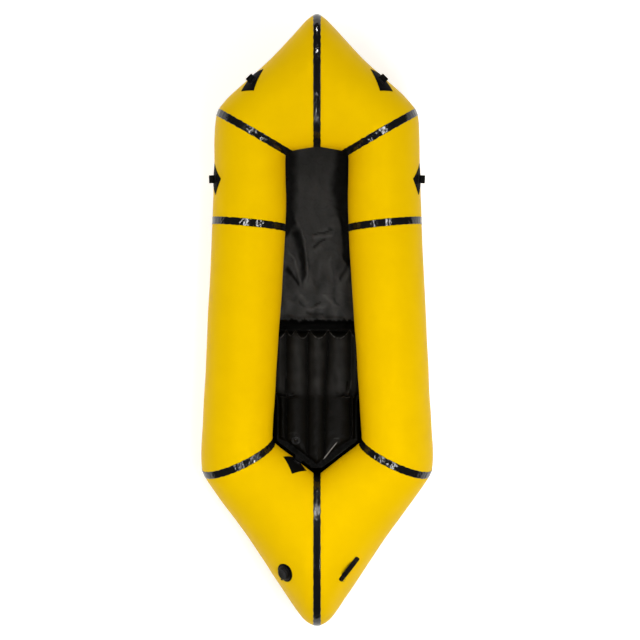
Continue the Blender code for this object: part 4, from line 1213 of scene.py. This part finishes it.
# creases and weld lines in plan: points, height, half width, how much lighter: above 0 a painted highlight,
# below 0 painted shade
SEAT_MARKS = (
    (((0.0225, -0.5035), (0.0420, -0.4830), (0.0735, -0.4480)), 0.0007, 0.0012, 5.5),
    (((0.0260, -0.5062), (0.0455, -0.4850), (0.0780, -0.4490)), 0.0000, 0.0022, -0.3),
    (((0.0390, -0.5180), (0.0740, -0.4890), (0.1090, -0.4620)), 0.0005, 0.0022, 0.30),
    (((0.0590, -0.4370), (0.0800, -0.4370)), 0.0005, 0.0022, 0.30),
    (((0.0886, -0.2894), (0.0977, -0.2811), (0.1078, -0.2861), (0.1223, -0.2778)), 0.0010, 0.0022, 0.90),
    (((0.0840, -0.2820), (0.0950, -0.2745), (0.1060, -0.2790), (0.1230, -0.2690)), 0.0000, 0.0040, -0.9),
    (((0.1110, -0.2690), (0.1194, -0.2478), (0.1241, -0.2180)), 0.0008, 0.0024, 0.45),
    (((0.1050, -0.2600), (0.1085, -0.2400), (0.1110, -0.2200)), 0.0000, 0.0034, -0.9),
    (((-0.1450, -0.2655), (-0.1194, -0.2735), (-0.0977, -0.2713), (-0.0790, -0.2660)), 0.0000, 0.0036, -0.9),
    (((-0.1460, -0.2770), (-0.1194, -0.2800), (-0.0940, -0.2745), (-0.0760, -0.2690)), 0.0008, 0.0022, 0.30),
    (((-0.1120, -0.2080), (-0.1130, -0.2380), (-0.1135, -0.2620)), 0.0000, 0.0034, -0.8),
    (((-0.1190, -0.2000), (-0.1200, -0.2380), (-0.1200, -0.2580)), 0.0006, 0.0030, 0.10),
    (((-0.1060, -0.4190), (-0.0900, -0.4150), (-0.0680, -0.4200)), 0.0006, 0.0022, 0.16),
)
MARK_END_STEEPNESS = 3
SEAT_WAIST = 0.006
CREST_POWER = 0.72
OUTER_CHANNEL_SHARE = 0.80
# how much of the steps is crowded towards the ends, and how much is even
SEAT_ROW_MIX = (0.55, 0.45)
SEAT_COLUMN_MIX = (0.45, 0.55)
SEAT_GAP_PARTS = 11
# how far the channels lean across, by the distance from the front
SEAT_SLANT = ((0.03, 0.22, 0.38), (0.0, 0.011, 0.016))
SEAT_LEAST_REACH = 0.010
SEAT_FULL_CHANNEL = 0.045
SEAT_PINCH_HEIGHT = 0.0012
FRONT_PUCKER_HEIGHT = 0.0009
FRONT_PUCKER_REACH = 0.016
VALLEY_PUCKER_HEIGHT = 0.0005
VALLEY_PUCKER_REACH = 0.007
VALLEY_PUCKER_INSET = 0.004
CREASE_PUCKER_HEIGHT = 0.0013
CREASE_PUCKER_REACH = 0.020
SEAT_SWELL_HEIGHT = 0.0005
# noises on the seat: share of x and of the distance back, seed, shortest and longest wave, how many
FRONT_PUCKERS = (1.0, 0.25, 51, 0.010, 0.022, 16)
VALLEY_PUCKERS = (0.4, 1.0, 52, 0.012, 0.034, 14)
CREASE_PUCKERS = (0.7, 1.6, 53, 0.014, 0.040, 16)
SEAT_SWELL = (1.0, 1.0, 54, 0.030, 0.090, 14)
FLANGE_WAVES = (1.0, 1.0, 55, 0.010, 0.030, 14)
RUB_STREAKS = (1.0, 0.4, 56, 0.020, 0.060, 14)
PINCH_HIGHLIGHT_NOISE = (1.0, 1.0, 57, 0.008, 0.025, 14)
SEAT_BEAD = 0.0007
SEAT_CREST_HIGHLIGHT = 0.32
SEAT_BACK_SHADE = 0.20
SEAT_PINCH_HIGHLIGHT = 2.2
SEAT_RIM_LIGHTNESS = 0.02
SEAT_UNDER_LIGHTNESS = 0.12
SEAT_FLOOR_GAP = 0.0016
SEAT_BASE_LENGTH = SEAT_FRONT_Y - SEAT_CREASE_Y
SEAT_LENGTH = SEAT_BASE_LENGTH + SEAT_BACK_LENGTH


def seat_half_width(s):
    inset = np.clip(SEAT_CORNER - s, 0, SEAT_CORNER)
    corner = SEAT_BASE_HALF_WIDTH - SEAT_CORNER + np.sqrt(np.clip(SEAT_CORNER**2 - inset**2, 0, None))
    back = (s - SEAT_BASE_LENGTH) / SEAT_BACK_LENGTH
    narrow = np.clip((back - SEAT_NARROW_FROM) / (1 - SEAT_NARROW_FROM), 0, 1)
    rear = SEAT_BACK_HALF_WIDTH + (SEAT_END_HALF_WIDTH - SEAT_BACK_HALF_WIDTH) * narrow
    waist = SEAT_WAIST * bell(s, SEAT_BASE_LENGTH, 0.016)
    onto_back = smoothstep(s, SEAT_BASE_LENGTH - 0.030, SEAT_BASE_LENGTH + 0.030)
    return corner + (rear - corner) * onto_back - waist


def seat_path(s):
    """The y, height and lean of the pad's middle at each distance from its front."""
    fine = np.linspace(0, SEAT_LENGTH, 1500)
    front = math.atan2(SEAT_CREASE_HEIGHT - SEAT_FRONT_HEIGHT, SEAT_BASE_LENGTH)
    back = math.radians(SEAT_BACK_LEAN)
    bend = smoothstep(fine, SEAT_BASE_LENGTH - SEAT_BEND_HALF, SEAT_BASE_LENGTH + SEAT_BEND_HALF)
    lean = front + (back - front) * bend
    step = fine[1] - fine[0]
    y = -np.concatenate(([0.0], np.cumsum((np.cos(lean[1:]) + np.cos(lean[:-1])) / 2 * step)))
    z = np.concatenate(([0.0], np.cumsum((np.sin(lean[1:]) + np.sin(lean[:-1])) / 2 * step)))
    y += SEAT_CREASE_Y - SEAT_BACK_LENGTH * math.cos(back) - y[-1]
    z += SEAT_CREASE_HEIGHT + SEAT_BACK_LENGTH * math.sin(back) - z[-1]
    return np.interp(s, fine, y), np.interp(s, fine, z), np.interp(s, fine, lean)


def channel(x):
    """How full the pad is across its channels, 1 at a crest and the valley share at a weld."""
    full = np.zeros(np.shape(x))
    edges = (-SEAT_BASE_HALF_WIDTH, *VALLEYS, SEAT_BASE_HALF_WIDTH)
    last = len(edges) - 2
    for i, (left, right) in enumerate(zip(edges, edges[1:])):
        share = np.clip((x - left) / (right - left), 0, 1)
        crest = np.sin(math.pi * share) ** CREST_POWER
        if i == 0:
            crest = np.where(share < 0.5, 1.0, crest)
        if i == last:
            crest = np.where(share > 0.5, 1.0, crest)
        size = OUTER_CHANNEL_SHARE if i in (0, last) else 1.0
        full = np.where((x >= left) & (x <= right), (VALLEY_SHARE + (1 - VALLEY_SHARE) * crest) * size, full)
    return full


def mixed_steps(crowded, even, mix):
    """Places crowded towards the ends and even ones, mixed."""
    return mix[0] * crowded + mix[1] * even


def seat_grid():
    """How far back each row of the pad lies, and the place across of each of its points."""
    even = np.linspace(0, 1, SEAT_ROWS)
    crowded = SEAT_LENGTH * (1 - np.cos(np.pi * even**0.97)) / 2
    s = mixed_steps(crowded, np.linspace(0, SEAT_LENGTH, SEAT_ROWS), SEAT_ROW_MIX)
    u = np.linspace(-1, 1, SEAT_COLUMNS)
    u = mixed_steps(np.sin(u * math.pi / 2), u, SEAT_COLUMN_MIX)
    return s, u[None, :] * seat_half_width(s)[:, None]


def weld_gap(x, long):
    """How far inside the welded rim of the pad each point lies."""
    fine = np.linspace(0, SEAT_LENGTH, 900)
    edge = np.stack((seat_half_width(fine), fine), -1)
    flat = np.stack((np.abs(x), long), -1).reshape(-1, 2)
    parts = np.array_split(flat, SEAT_GAP_PARTS)
    gaps = [np.sqrt(((part[:, None] - edge[None]) ** 2).sum(-1)).min(axis=1) for part in parts]
    end_flange = SEAT_END_FLANGE * smoothstep(long, SEAT_BASE_LENGTH + 0.15, SEAT_BASE_LENGTH + 0.19)
    sides = np.concatenate(gaps).reshape(x.shape) - np.maximum(SEAT_FLANGE, end_flange)
    ends = SEAT_LENGTH - long - SEAT_END_FLANGE * 0.8
    return np.minimum(np.minimum(sides, long - 0.7 * SEAT_FLANGE), ends)


def seat_front(x):
    """Where each channel starts behind the pinched front, and how near a point is to a channel's edge."""
    start_line = np.zeros(x.shape)
    tip = np.zeros(x.shape)
    edges = (-SEAT_BASE_HALF_WIDTH, *SEAT_TIPS, SEAT_BASE_HALF_WIDTH)
    for left, right in zip(edges, edges[1:]):
        share = np.abs((x - (left + right) / 2) / ((right - left) / 2))
        on = (x >= left) & (x <= right)
        depth = SEAT_FRONT_DEPTH * min(1.0, (right - left) / SEAT_FULL_CHANNEL)
        start_line = np.where(on, depth * (1 - share**2.2), start_line)
        tip = np.where(on, share, tip)
    return start_line, tip


def dome(gap, reach):
    """How far a rounded edge has risen at a distance from it."""
    return np.sqrt(np.clip(1 - (1 - np.clip(gap / reach, 0, 1)) ** 2, 0, 1))


def seat_noise(x, long, field):
    across, back, *waves = field
    return smooth_noise(x * across, long * back, *waves)


def seat_puckers(x, long, across, gap, pinch, side_crease):
    """How far the cloth puckers out at the rim, the pinched front, the valleys and the crease."""
    near_front = np.exp(-np.clip(gap, 0, None) / FRONT_PUCKER_REACH) * (gap > 0)
    valley_gap = np.min([np.abs(across - valley) for valley in VALLEYS], axis=0)
    near_valley = np.exp(-valley_gap / VALLEY_PUCKER_REACH) * (gap > VALLEY_PUCKER_INSET)
    near_crease = bell(long, SEAT_BASE_LENGTH, CREASE_PUCKER_REACH) * side_crease
    pucker = FRONT_PUCKER_HEIGHT * near_front * seat_noise(x, long, FRONT_PUCKERS)
    pucker += SEAT_PINCH_HEIGHT * pinch
    pucker += VALLEY_PUCKER_HEIGHT * near_valley * seat_noise(x, long, VALLEY_PUCKERS)
    pucker += CREASE_PUCKER_HEIGHT * near_crease * seat_noise(x, long, CREASE_PUCKERS)
    return pucker + SEAT_SWELL_HEIGHT * seat_noise(x, long, SEAT_SWELL)


def seat_painted_light(x, long, crest, gap, start_line, pinch, side_crease):
    """Painted light and shade on the pad, with some wear: painted highlights on its crests, the pinched
    front, the crease and the side welds, painted shade on its front, flange, back and crease, and random
    streaks.
    """
    behind = long - SEAT_BASE_LENGTH
    full = np.clip((crest - VALLEY_SHARE) / (1 - VALLEY_SHARE), 0, 1)
    # painted highlight on the crests, less on the back as painted shade
    painted_light_and_wear = full**0.8 * (SEAT_CREST_HIGHLIGHT - SEAT_BACK_SHADE * smoothstep(behind, -0.03, 0.03))
    # painted shade on the front of the channels and on the flange
    painted_light_and_wear = painted_light_and_wear * smoothstep(long - start_line, -0.001, 0.010)
    painted_light_and_wear *= smoothstep(gap, 0.0, 0.008)
    # painted shade on the outer channels of the back
    painted_light_and_wear *= 1 - 0.75 * smoothstep(np.abs(x), 0.118, 0.128) * smoothstep(behind, 0.02, 0.05)
    streaks = 0.05 * seat_noise(x, long, RUB_STREAKS)
    painted_light_and_wear += streaks * full * smoothstep(long, 0.03, 0.06) * (behind < 0)
    # painted highlight along the pinched front
    painted_light_and_wear += SEAT_PINCH_HIGHLIGHT * pinch * (0.75 + 0.25 * seat_noise(x, long, PINCH_HIGHLIGHT_NOISE))
    # a painted highlight and painted shade along the crease
    crease_line = bell(behind + 0.004 - 0.006 * np.sin(9 * x), 0.0, 0.0016)
    painted_light_and_wear += 0.14 * side_crease * crease_line - 0.2 * side_crease * bell(behind, 0.001, 0.003)
    # painted highlights along the side welds of the base
    outer = bell(x, 0.1205, 0.012) + 0.8 * bell(x, -0.1105, 0.009)
    on_sides = smoothstep(long, 0.006, 0.03) * (1 - smoothstep(behind, -0.04, -0.005))
    painted_light_and_wear += (0.11 * outer + 0.20 * bell(x, 0.1245, 0.0014)) * on_sides
    # a painted glint along the right weld of the narrowed back
    right_edge = (x > 0) * smoothstep(behind, 0.178, 0.200) * (1 - smoothstep(behind, 0.262, 0.275))
    return painted_light_and_wear + right_edge * 0.06 * bell(gap, 0.0, 0.0016)


def seat_underside(z, crest, on_base, gap):
    """How far the pad reaches down, flat on the floor under the base."""
    rest = z - BASE_HEIGHT - SEAT_FLOOR_GAP
    low_base = rest[:, None] * np.minimum(crest * 2.2, 1.0)
    low = low_base * on_base + SEAT_BACK_HALF_THICKNESS * 0.96 * crest * (1 - on_base)
    low = low * dome(gap, np.maximum(low * 0.9, SEAT_LEAST_REACH)) + 0.0004
    return np.minimum(low, np.where(on_base > 0.5, rest[:, None], low))


def seat_faces():
    columns = 2 * SEAT_COLUMNS
    faces = grid_faces(SEAT_ROWS, columns, True, True)
    for row, flipped in ((0, False), (SEAT_ROWS - 1, True)):
        first = row * columns
        for k in range(SEAT_COLUMNS - 1):
            face = [first + k, first + k + 1, first + columns - 2 - k, first + columns - 1 - k]
            faces.append(face[::-1] if flipped else face)
    return faces


def build_seat():
    s, x = seat_grid()
    long = np.repeat(s[:, None], SEAT_COLUMNS, axis=1)
    gap = weld_gap(x, long)
    on_base = 1 - smoothstep(long, SEAT_BASE_LENGTH - 0.03, SEAT_BASE_LENGTH + 0.03)
    y, z, lean = seat_path(s)
    base_tops = (SEAT_BASE_TOP - SEAT_FRONT_HEIGHT, SEAT_BASE_TOP - SEAT_CREASE_HEIGHT)
    up_base = np.interp(s, (0, SEAT_BASE_LENGTH), base_tops)
    up = up_base[:, None] * on_base + SEAT_BACK_HALF_THICKNESS * (1 - on_base)
    slant = np.interp(s, *SEAT_SLANT)
    across = x + slant[:, None] * bell(x, 0.034, 0.030)
    crest = channel(across)
    local = up * crest
    top = local * dome(gap, np.maximum(local * (1.30 - 0.25 * on_base), SEAT_LEAST_REACH))
    side_crease = smoothstep(np.abs(x - 0.004), 0.048, 0.100)
    top *= 1 - bell(long, SEAT_BASE_LENGTH, 0.011) * (0.10 + 0.55 * side_crease)
    start_line, tip = seat_front(x)
    pinch = bell(long, start_line, 0.0013 + 0.0018 * (1 - tip)) * (0.35 + 0.65 * smoothstep(tip, 0.10, 0.75))
    pinch *= smoothstep(long, 0.001, 0.004) * (np.abs(x) < 0.135)
    pucker = seat_puckers(x, long, across, gap, pinch, side_crease)
    top = np.clip(top + pucker * np.clip(gap / 0.006, 0, 1), 0.0, None)
    flange_wave = 1 + 0.5 * seat_noise(x, long, FLANGE_WAVES)
    top = top + 0.0006 + SEAT_BEAD * bell(gap, 0.0, 0.0013) + 0.0004 * (gap < 0) * flange_wave
    painted_light_and_wear = seat_painted_light(x, long, crest, gap, start_line, pinch, side_crease)
    plan_y = np.repeat(y[:, None], SEAT_COLUMNS, axis=1)
    # painted highlights and painted shade along creases and welds, with their relief
    for line, height, width, shading_and_wear in SEAT_MARKS:
        mark_gap, where = polyline_distance(x, plan_y, line)
        mark = bell(mark_gap, 0.0, width) * line_ends(where, MARK_END_STEEPNESS)
        top = top + height * mark
        painted_light_and_wear = painted_light_and_wear + shading_and_wear * mark if shading_and_wear > 0 else painted_light_and_wear * (1 + shading_and_wear * mark)
    painted_light_and_wear[:, :2] = painted_light_and_wear[:, -2:] = SEAT_RIM_LIGHTNESS
    low = seat_underside(z, crest, on_base, gap)
    cos, sin = np.cos(lean)[:, None], np.sin(lean)[:, None]
    upper = np.stack((x, y[:, None] + top * sin, z[:, None] + top * cos), -1)
    lower = np.stack((x, y[:, None] - low * sin, z[:, None] - low * cos), -1)
    ring = np.concatenate((upper, lower[:, ::-1]), axis=1)
    plan = np.stack((x, long), -1)
    cloth = np.concatenate((plan, plan[:, ::-1]), axis=1)
    shading_and_wear = np.concatenate((painted_light_and_wear, np.full(painted_light_and_wear.shape, SEAT_UNDER_LIGHTNESS)), axis=1)
    nodes = ["seat_base", "seat_back"]
    seat = add_piece("inflated_seat", ring, seat_faces(), SEAT, None, cloth, nodes, shading_and_wear)
    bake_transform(seat)


build_seat()


# Main valve


NECK_RADIUS = 0.0200
BORE_RADIUS = 0.0170
NECK_DEPTH = 0.012
FLANGE_RADIUS = 0.0290
PATCH_DISC_RADII = (0.0205, 0.0345)
PATCH_DISC_ROWS = 8
PATCH_DISC_STEPS = 72
RING_INNER = 0.0203
RING_OUTER = 0.0239
RING_LOW = 0.0041
RING_HIGH = 0.0057
CAP_WALL = 0.0030
CAP_LOW = 0.0060
CAP_ROOF = 0.0117
CAP_RIM = RING_INNER + CAP_WALL
CAP_RIBS = 30
CAP_RIB_DEPTH = 0.0007
CAP_RIBS_FROM = 0.0224
STRAP_ROWS = 9
STRAP_FLAT_SHARE = 0.8
# name, body, start, reach, half width, waist as a share of it, underside, top, half height of the edges
TETHER_ARM = ("valve_tether_arm", "tether", 0.0225, 0.0105, 0.0050, 0.25, RING_LOW, RING_HIGH, 0.0004)
CAP_TAB = ("valve_cap_tab", "cap", 0.0218, 0.0112, 0.0045, 0.3, CAP_LOW, 0.0082, 0.0006)
ROUND_STEPS = 96
CAP_STEPS = 120

# radius and height of each corner
NECK_PROFILE = (
    (BORE_RADIUS, -NECK_DEPTH), (BORE_RADIUS, NECK_HEIGHT), (NECK_RADIUS, NECK_HEIGHT), (NECK_RADIUS, 0.0056),
    (NECK_RADIUS, 0.0041), (FLANGE_RADIUS, 0.0038), (FLANGE_RADIUS, 0.0022), (NECK_RADIUS, 0.0022),
    (NECK_RADIUS, -NECK_DEPTH), (BORE_RADIUS, -NECK_DEPTH),
)
RING_PROFILE = (
    (RING_INNER, RING_LOW), (RING_INNER, RING_HIGH), (RING_OUTER, RING_HIGH), (RING_OUTER, RING_LOW),
    (RING_INNER, RING_LOW),
)
CAP_PROFILE = (
    (0.0, CAP_ROOF), (RING_INNER, CAP_ROOF), (RING_INNER, CAP_LOW), (CAP_RIM, CAP_LOW), (CAP_RIM, 0.0112),
    (0.0226, 0.0124), (0.0212, 0.0139), (0.0195, 0.0143), (0.0150, 0.0143), (0.0140, 0.0137),
    (0.0082, 0.0136), (0.0075, 0.0131), (0.0, 0.0131),
)

SPRING_LOW = -0.0027
SPRING_HIGH = 0.0050
SPRING_WIRE_RADIUS = 0.0004
SPRING_COIL_RADIUS = 0.0042
SPRING_TURNS = 4.5
SPRING_STEPS = 181
SPRING_SIDES = 10


def turned(name, profile, steps, material, body, slot, replaced=(), shape=None):
    """A closed profile of (radius, height) turned about the valve. shape may change a radius by its angle."""
    turns = np.linspace(0, 2 * math.pi, steps, endpoint=False)
    points = np.zeros((len(profile), steps, 3))
    for i, (radius, height) in enumerate(profile):
        around = shape(turns, radius) if shape else np.full(steps, radius)
        points[i] = np.stack((around * np.cos(turns), around * np.sin(turns), np.full(steps, height)), -1)
    closed = np.concatenate((points, points[:1])) if profile[0][0] > 0 and profile[-1][0] > 0 else points
    faces = grid_faces(len(closed), steps, True, True)
    piece = add_piece(name, to_world(VALVE_FRAME, closed), faces, material, body, None, replaced)
    piece.modifiers.new("merge", "WELD").merge_threshold = 0.00001


def rounded(points, radius, steps=4):
    """A profile with its inner corners rounded."""
    result = []
    for i, point in enumerate(points):
        point = Vector(point)
        if i in (0, len(points) - 1):
            result.append(tuple(point))
            continue
        before = Vector(points[i - 1]) - point
        after = Vector(points[i + 1]) - point
        size = min(radius, before.length / 2.2, after.length / 2.2)
        a = point + before.normalized() * size
        b = point + after.normalized() * size
        for k in range(steps + 1):
            t = k / steps
            result.append(tuple((1 - t) ** 2 * a + 2 * t * (1 - t) * point + t**2 * b))
    return result


def ribs(turns, radius):
    if radius < CAP_RIBS_FROM:
        return np.full(len(turns), radius)
    return radius - CAP_RIB_DEPTH * (0.5 + 0.5 * np.cos(turns * CAP_RIBS)) ** 2


def build_strap(name, body, start, reach, half_width, waist_share, low, high, nose):
    """A short rubber strap along the tether's heading, with a waist and blunt edges."""
    points = []
    middle = (low + high) / 2
    for x in np.linspace(start, start + reach, STRAP_ROWS):
        wide = half_width * (1 - waist_share * math.sin(math.pi * (x - start) / reach))
        inner = STRAP_FLAT_SHARE * wide
        ring = [(-wide, middle - nose), (-inner, low), (inner, low), (wide, middle - nose)]
        ring += [(wide, middle + nose), (inner, high), (-inner, high), (-wide, middle + nose)]
        points += [(x, y, z) for y, z in ring]
    faces = capped_faces(STRAP_ROWS, len(points) // STRAP_ROWS)
    piece = add_piece(name, to_world(VALVE_FRAME, points), faces, RUBBER, body)
    rounding = piece.modifiers.new("rounding", "SUBSURF")
    rounding.levels = 1
    rounding.render_levels = 1


def build_patch_disc():
    turns = np.linspace(0, 2 * math.pi, PATCH_DISC_STEPS, endpoint=False)
    radii = np.linspace(*PATCH_DISC_RADII, PATCH_DISC_ROWS)[:, None]
    plan = np.stack((radii * np.cos(turns), radii * np.sin(turns)), -1)
    points = np.zeros((*plan.shape[:2], 3))
    for i, k in np.ndindex(*plan.shape[:2]):
        points[i, k] = laid(VALVE_FRAME, *plan[i, k], LAID_GAP)
    faces = grid_faces(PATCH_DISC_ROWS, PATCH_DISC_STEPS, True, True)
    patch = add_piece(
        "valve_patch_disc", points, faces, PATCH, "hull", plan, ["valve_patch"]
    )
    thicken(patch, PATCH_THICKNESS, True)


def build_valve():
    build_patch_disc()
    neck = rounded(NECK_PROFILE, 0.0007)
    turned("valve_base_moulding", neck, ROUND_STEPS, PLASTIC, "hull", "valve_plastic", ["valve_base"])
    ring = rounded(RING_PROFILE, 0.0005)
    turned("valve_tether_ring", ring, ROUND_STEPS, RUBBER, "tether", "seal_rubber", ["valve_tether"])
    build_strap(*TETHER_ARM)
    knob = rounded(CAP_PROFILE, 0.0006)
    turned("valve_cap_knob", knob, CAP_STEPS, RUBBER, "cap", "seal_rubber", ["valve_cap"], ribs)
    build_strap(*CAP_TAB)


def build_spring():
    """The return spring, closed at both ends."""
    t = np.linspace(0, SPRING_TURNS, SPRING_STEPS)
    rise = np.interp(t, (0, 0.5, SPRING_TURNS - 0.5, SPRING_TURNS), (0, 0.04, 0.96, 1.0))
    long = SPRING_HIGH - SPRING_LOW
    height = SPRING_LOW + SPRING_WIRE_RADIUS + (long - 2 * SPRING_WIRE_RADIUS) * rise
    turn = 2 * math.pi * t[:, None]
    ring = np.linspace(0, 2 * math.pi, SPRING_SIDES, endpoint=False)
    radius = SPRING_COIL_RADIUS + SPRING_WIRE_RADIUS * np.cos(ring)[None, :]
    level = height[:, None] + SPRING_WIRE_RADIUS * np.sin(ring)[None, :]
    world = to_world(VALVE_FRAME, np.stack((radius * np.cos(turn), radius * np.sin(turn), level), -1))
    faces = capped_faces(SPRING_STEPS, SPRING_SIDES)
    spring = add_piece(
        "valve_return_spring", world, faces, STEEL, "hull", None, ["valve_spring"]
    )
    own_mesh(spring)


build_valve()
build_spring()

SOLID_MATERIALS = {
    "valve_housing": PLASTIC,
    "valve_plunger": PLASTIC,
    "valve_seal": RUBBER,
    "seat_valve_stem": SEAT_PLASTIC,
    "seat_valve_nozzle": SEAT_PLASTIC,
}
for _node, _material in SOLID_MATERIALS.items():
    for _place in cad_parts[_node].material_slots:
        _place.material = _material


# Floor of the studio, lights and camera


GROUND_HALF = 14.0
GROUND_GLOW = 0.50
AIR_LIGHT = 0.38
AIR_GLOSS = 0.06
CAMERA_PLACE = (0.01085, 0.0018)
CAMERA_DISTANCE = 30.0
CAMERA_AIM_HEIGHT = 0.15
CAMERA_SENSOR = 36.0
CAMERA_REACH = 150.0
VIEW_WIDTH = 2.315
LIGHTS = (
    # name, place, target, size, watts, seen only as a gloss
    ("softbox_left", (-3.4, -0.65, 2.6), (0, -0.3, 0.1), (1.2, 3.2), 56.0, False),
    ("glint_strip_left", (-0.43, 0.0, 1.22), (-0.43, 0.0, 0.0), (0.06, 2.2), 15.0, True),
    ("softbox_right", (3.4, -0.65, 2.6), (0, -0.3, 0.1), (1.2, 3.2), 36.0, False),
    ("glint_strip_right", (0.43, 0.0, 1.22), (0.43, 0.0, 0.0), (0.06, 2.2), 15.0, True),
    ("overhead_key", (0.9, -1.15, 3.1), (0.1, -0.6, 0.1), (1.2, 1.2), 48.0, False),
    ("bow_fill", (-0.4, 4.2, 2.0), (0.0, 0.7, 0.2), (1.6, 1.0), 34.0, False),
    ("sparkle_stern", (0.0, 4.2, 7.0), (0.0, -0.7, 0.3), (0.3, 0.3), 90.0, True),
    ("sparkle_bow", (0.0, 6.0, 2.2), (0.0, 1.0, 0.3), (0.3, 0.3), 60.0, True),
)


def studio_material():
    """White that glows a little for the camera, so that the ground fades out but keeps the shadow."""
    material = new_material("studio_white", grey(0.86), 0.9, 0.1)
    rays = add_node(material, "ShaderNodeLightPath")
    seen = math_node(material, "MAXIMUM", rays.outputs["Is Camera Ray"], rays.outputs["Is Glossy Ray"])
    seen = math_node(material, "MAXIMUM", seen, rays.outputs["Is Transmission Ray"])
    glow = add_node(material, "ShaderNodeEmission")
    link(material, math_node(material, "MULTIPLY", seen, GROUND_GLOW), glow.inputs["Strength"])
    both = add_node(material, "ShaderNodeAddShader")
    link(material, material.node_tree.nodes["Principled BSDF"].outputs[0], both.inputs[0])
    link(material, glow.outputs[0], both.inputs[1])
    link(material, both.outputs[0], material.node_tree.nodes["Material Output"].inputs["Surface"])
    return material


def build_air():
    """White air, dimmer where it would show as a gloss."""
    world = bpy.data.worlds.new("studio_air")
    bpy.context.scene.world = world
    world.use_nodes = True
    sky = world.node_tree.nodes["Background"]
    sky.inputs["Color"].default_value = (1.0, 1.0, 1.0, 1.0)
    rays = add_node(world, "ShaderNodeLightPath")
    strength = add_node(world, "ShaderNodeMapRange", **{"To Min": AIR_LIGHT, "To Max": AIR_GLOSS})
    link(world, rays.outputs["Is Glossy Ray"], strength.inputs["Value"])
    link(world, strength.outputs["Result"], sky.inputs["Strength"])


def area_light(name, place, target, size, power, gloss_only):
    data = bpy.data.lights.new(name, "AREA")
    data.shape = "RECTANGLE"
    data.size, data.size_y = size
    data.energy = power
    light = bpy.data.objects.new(name, data)
    bpy.context.scene.collection.objects.link(light)
    light.location = place
    light.rotation_euler = (Vector(place) - Vector(target)).to_track_quat("Z", "Y").to_euler()
    light.visible_camera = False
    light.visible_glossy = gloss_only
    light.visible_diffuse = not gloss_only


def build_camera():
    camera = bpy.data.objects.new("camera", bpy.data.cameras.new("camera"))
    bpy.context.scene.collection.objects.link(camera)
    camera.location = (*CAMERA_PLACE, CAMERA_AIM_HEIGHT + CAMERA_DISTANCE)
    camera.data.sensor_fit = "HORIZONTAL"
    camera.data.sensor_width = CAMERA_SENSOR
    camera.data.lens = CAMERA_SENSOR * CAMERA_DISTANCE / VIEW_WIDTH
    camera.data.clip_end = CAMERA_REACH
    bpy.context.scene.camera = camera


def build_studio():
    corners = np.array(((-1, -1, 0), (1, -1, 0), (1, 1, 0), (-1, 1, 0))) * GROUND_HALF
    ground = add_piece("studio_ground", corners, [[0, 1, 2, 3]], studio_material())
    build_air()
    for light in LIGHTS:
        area_light(*light)
    bpy.context.scene.view_settings.view_transform = "Standard"
    build_camera()


build_studio()
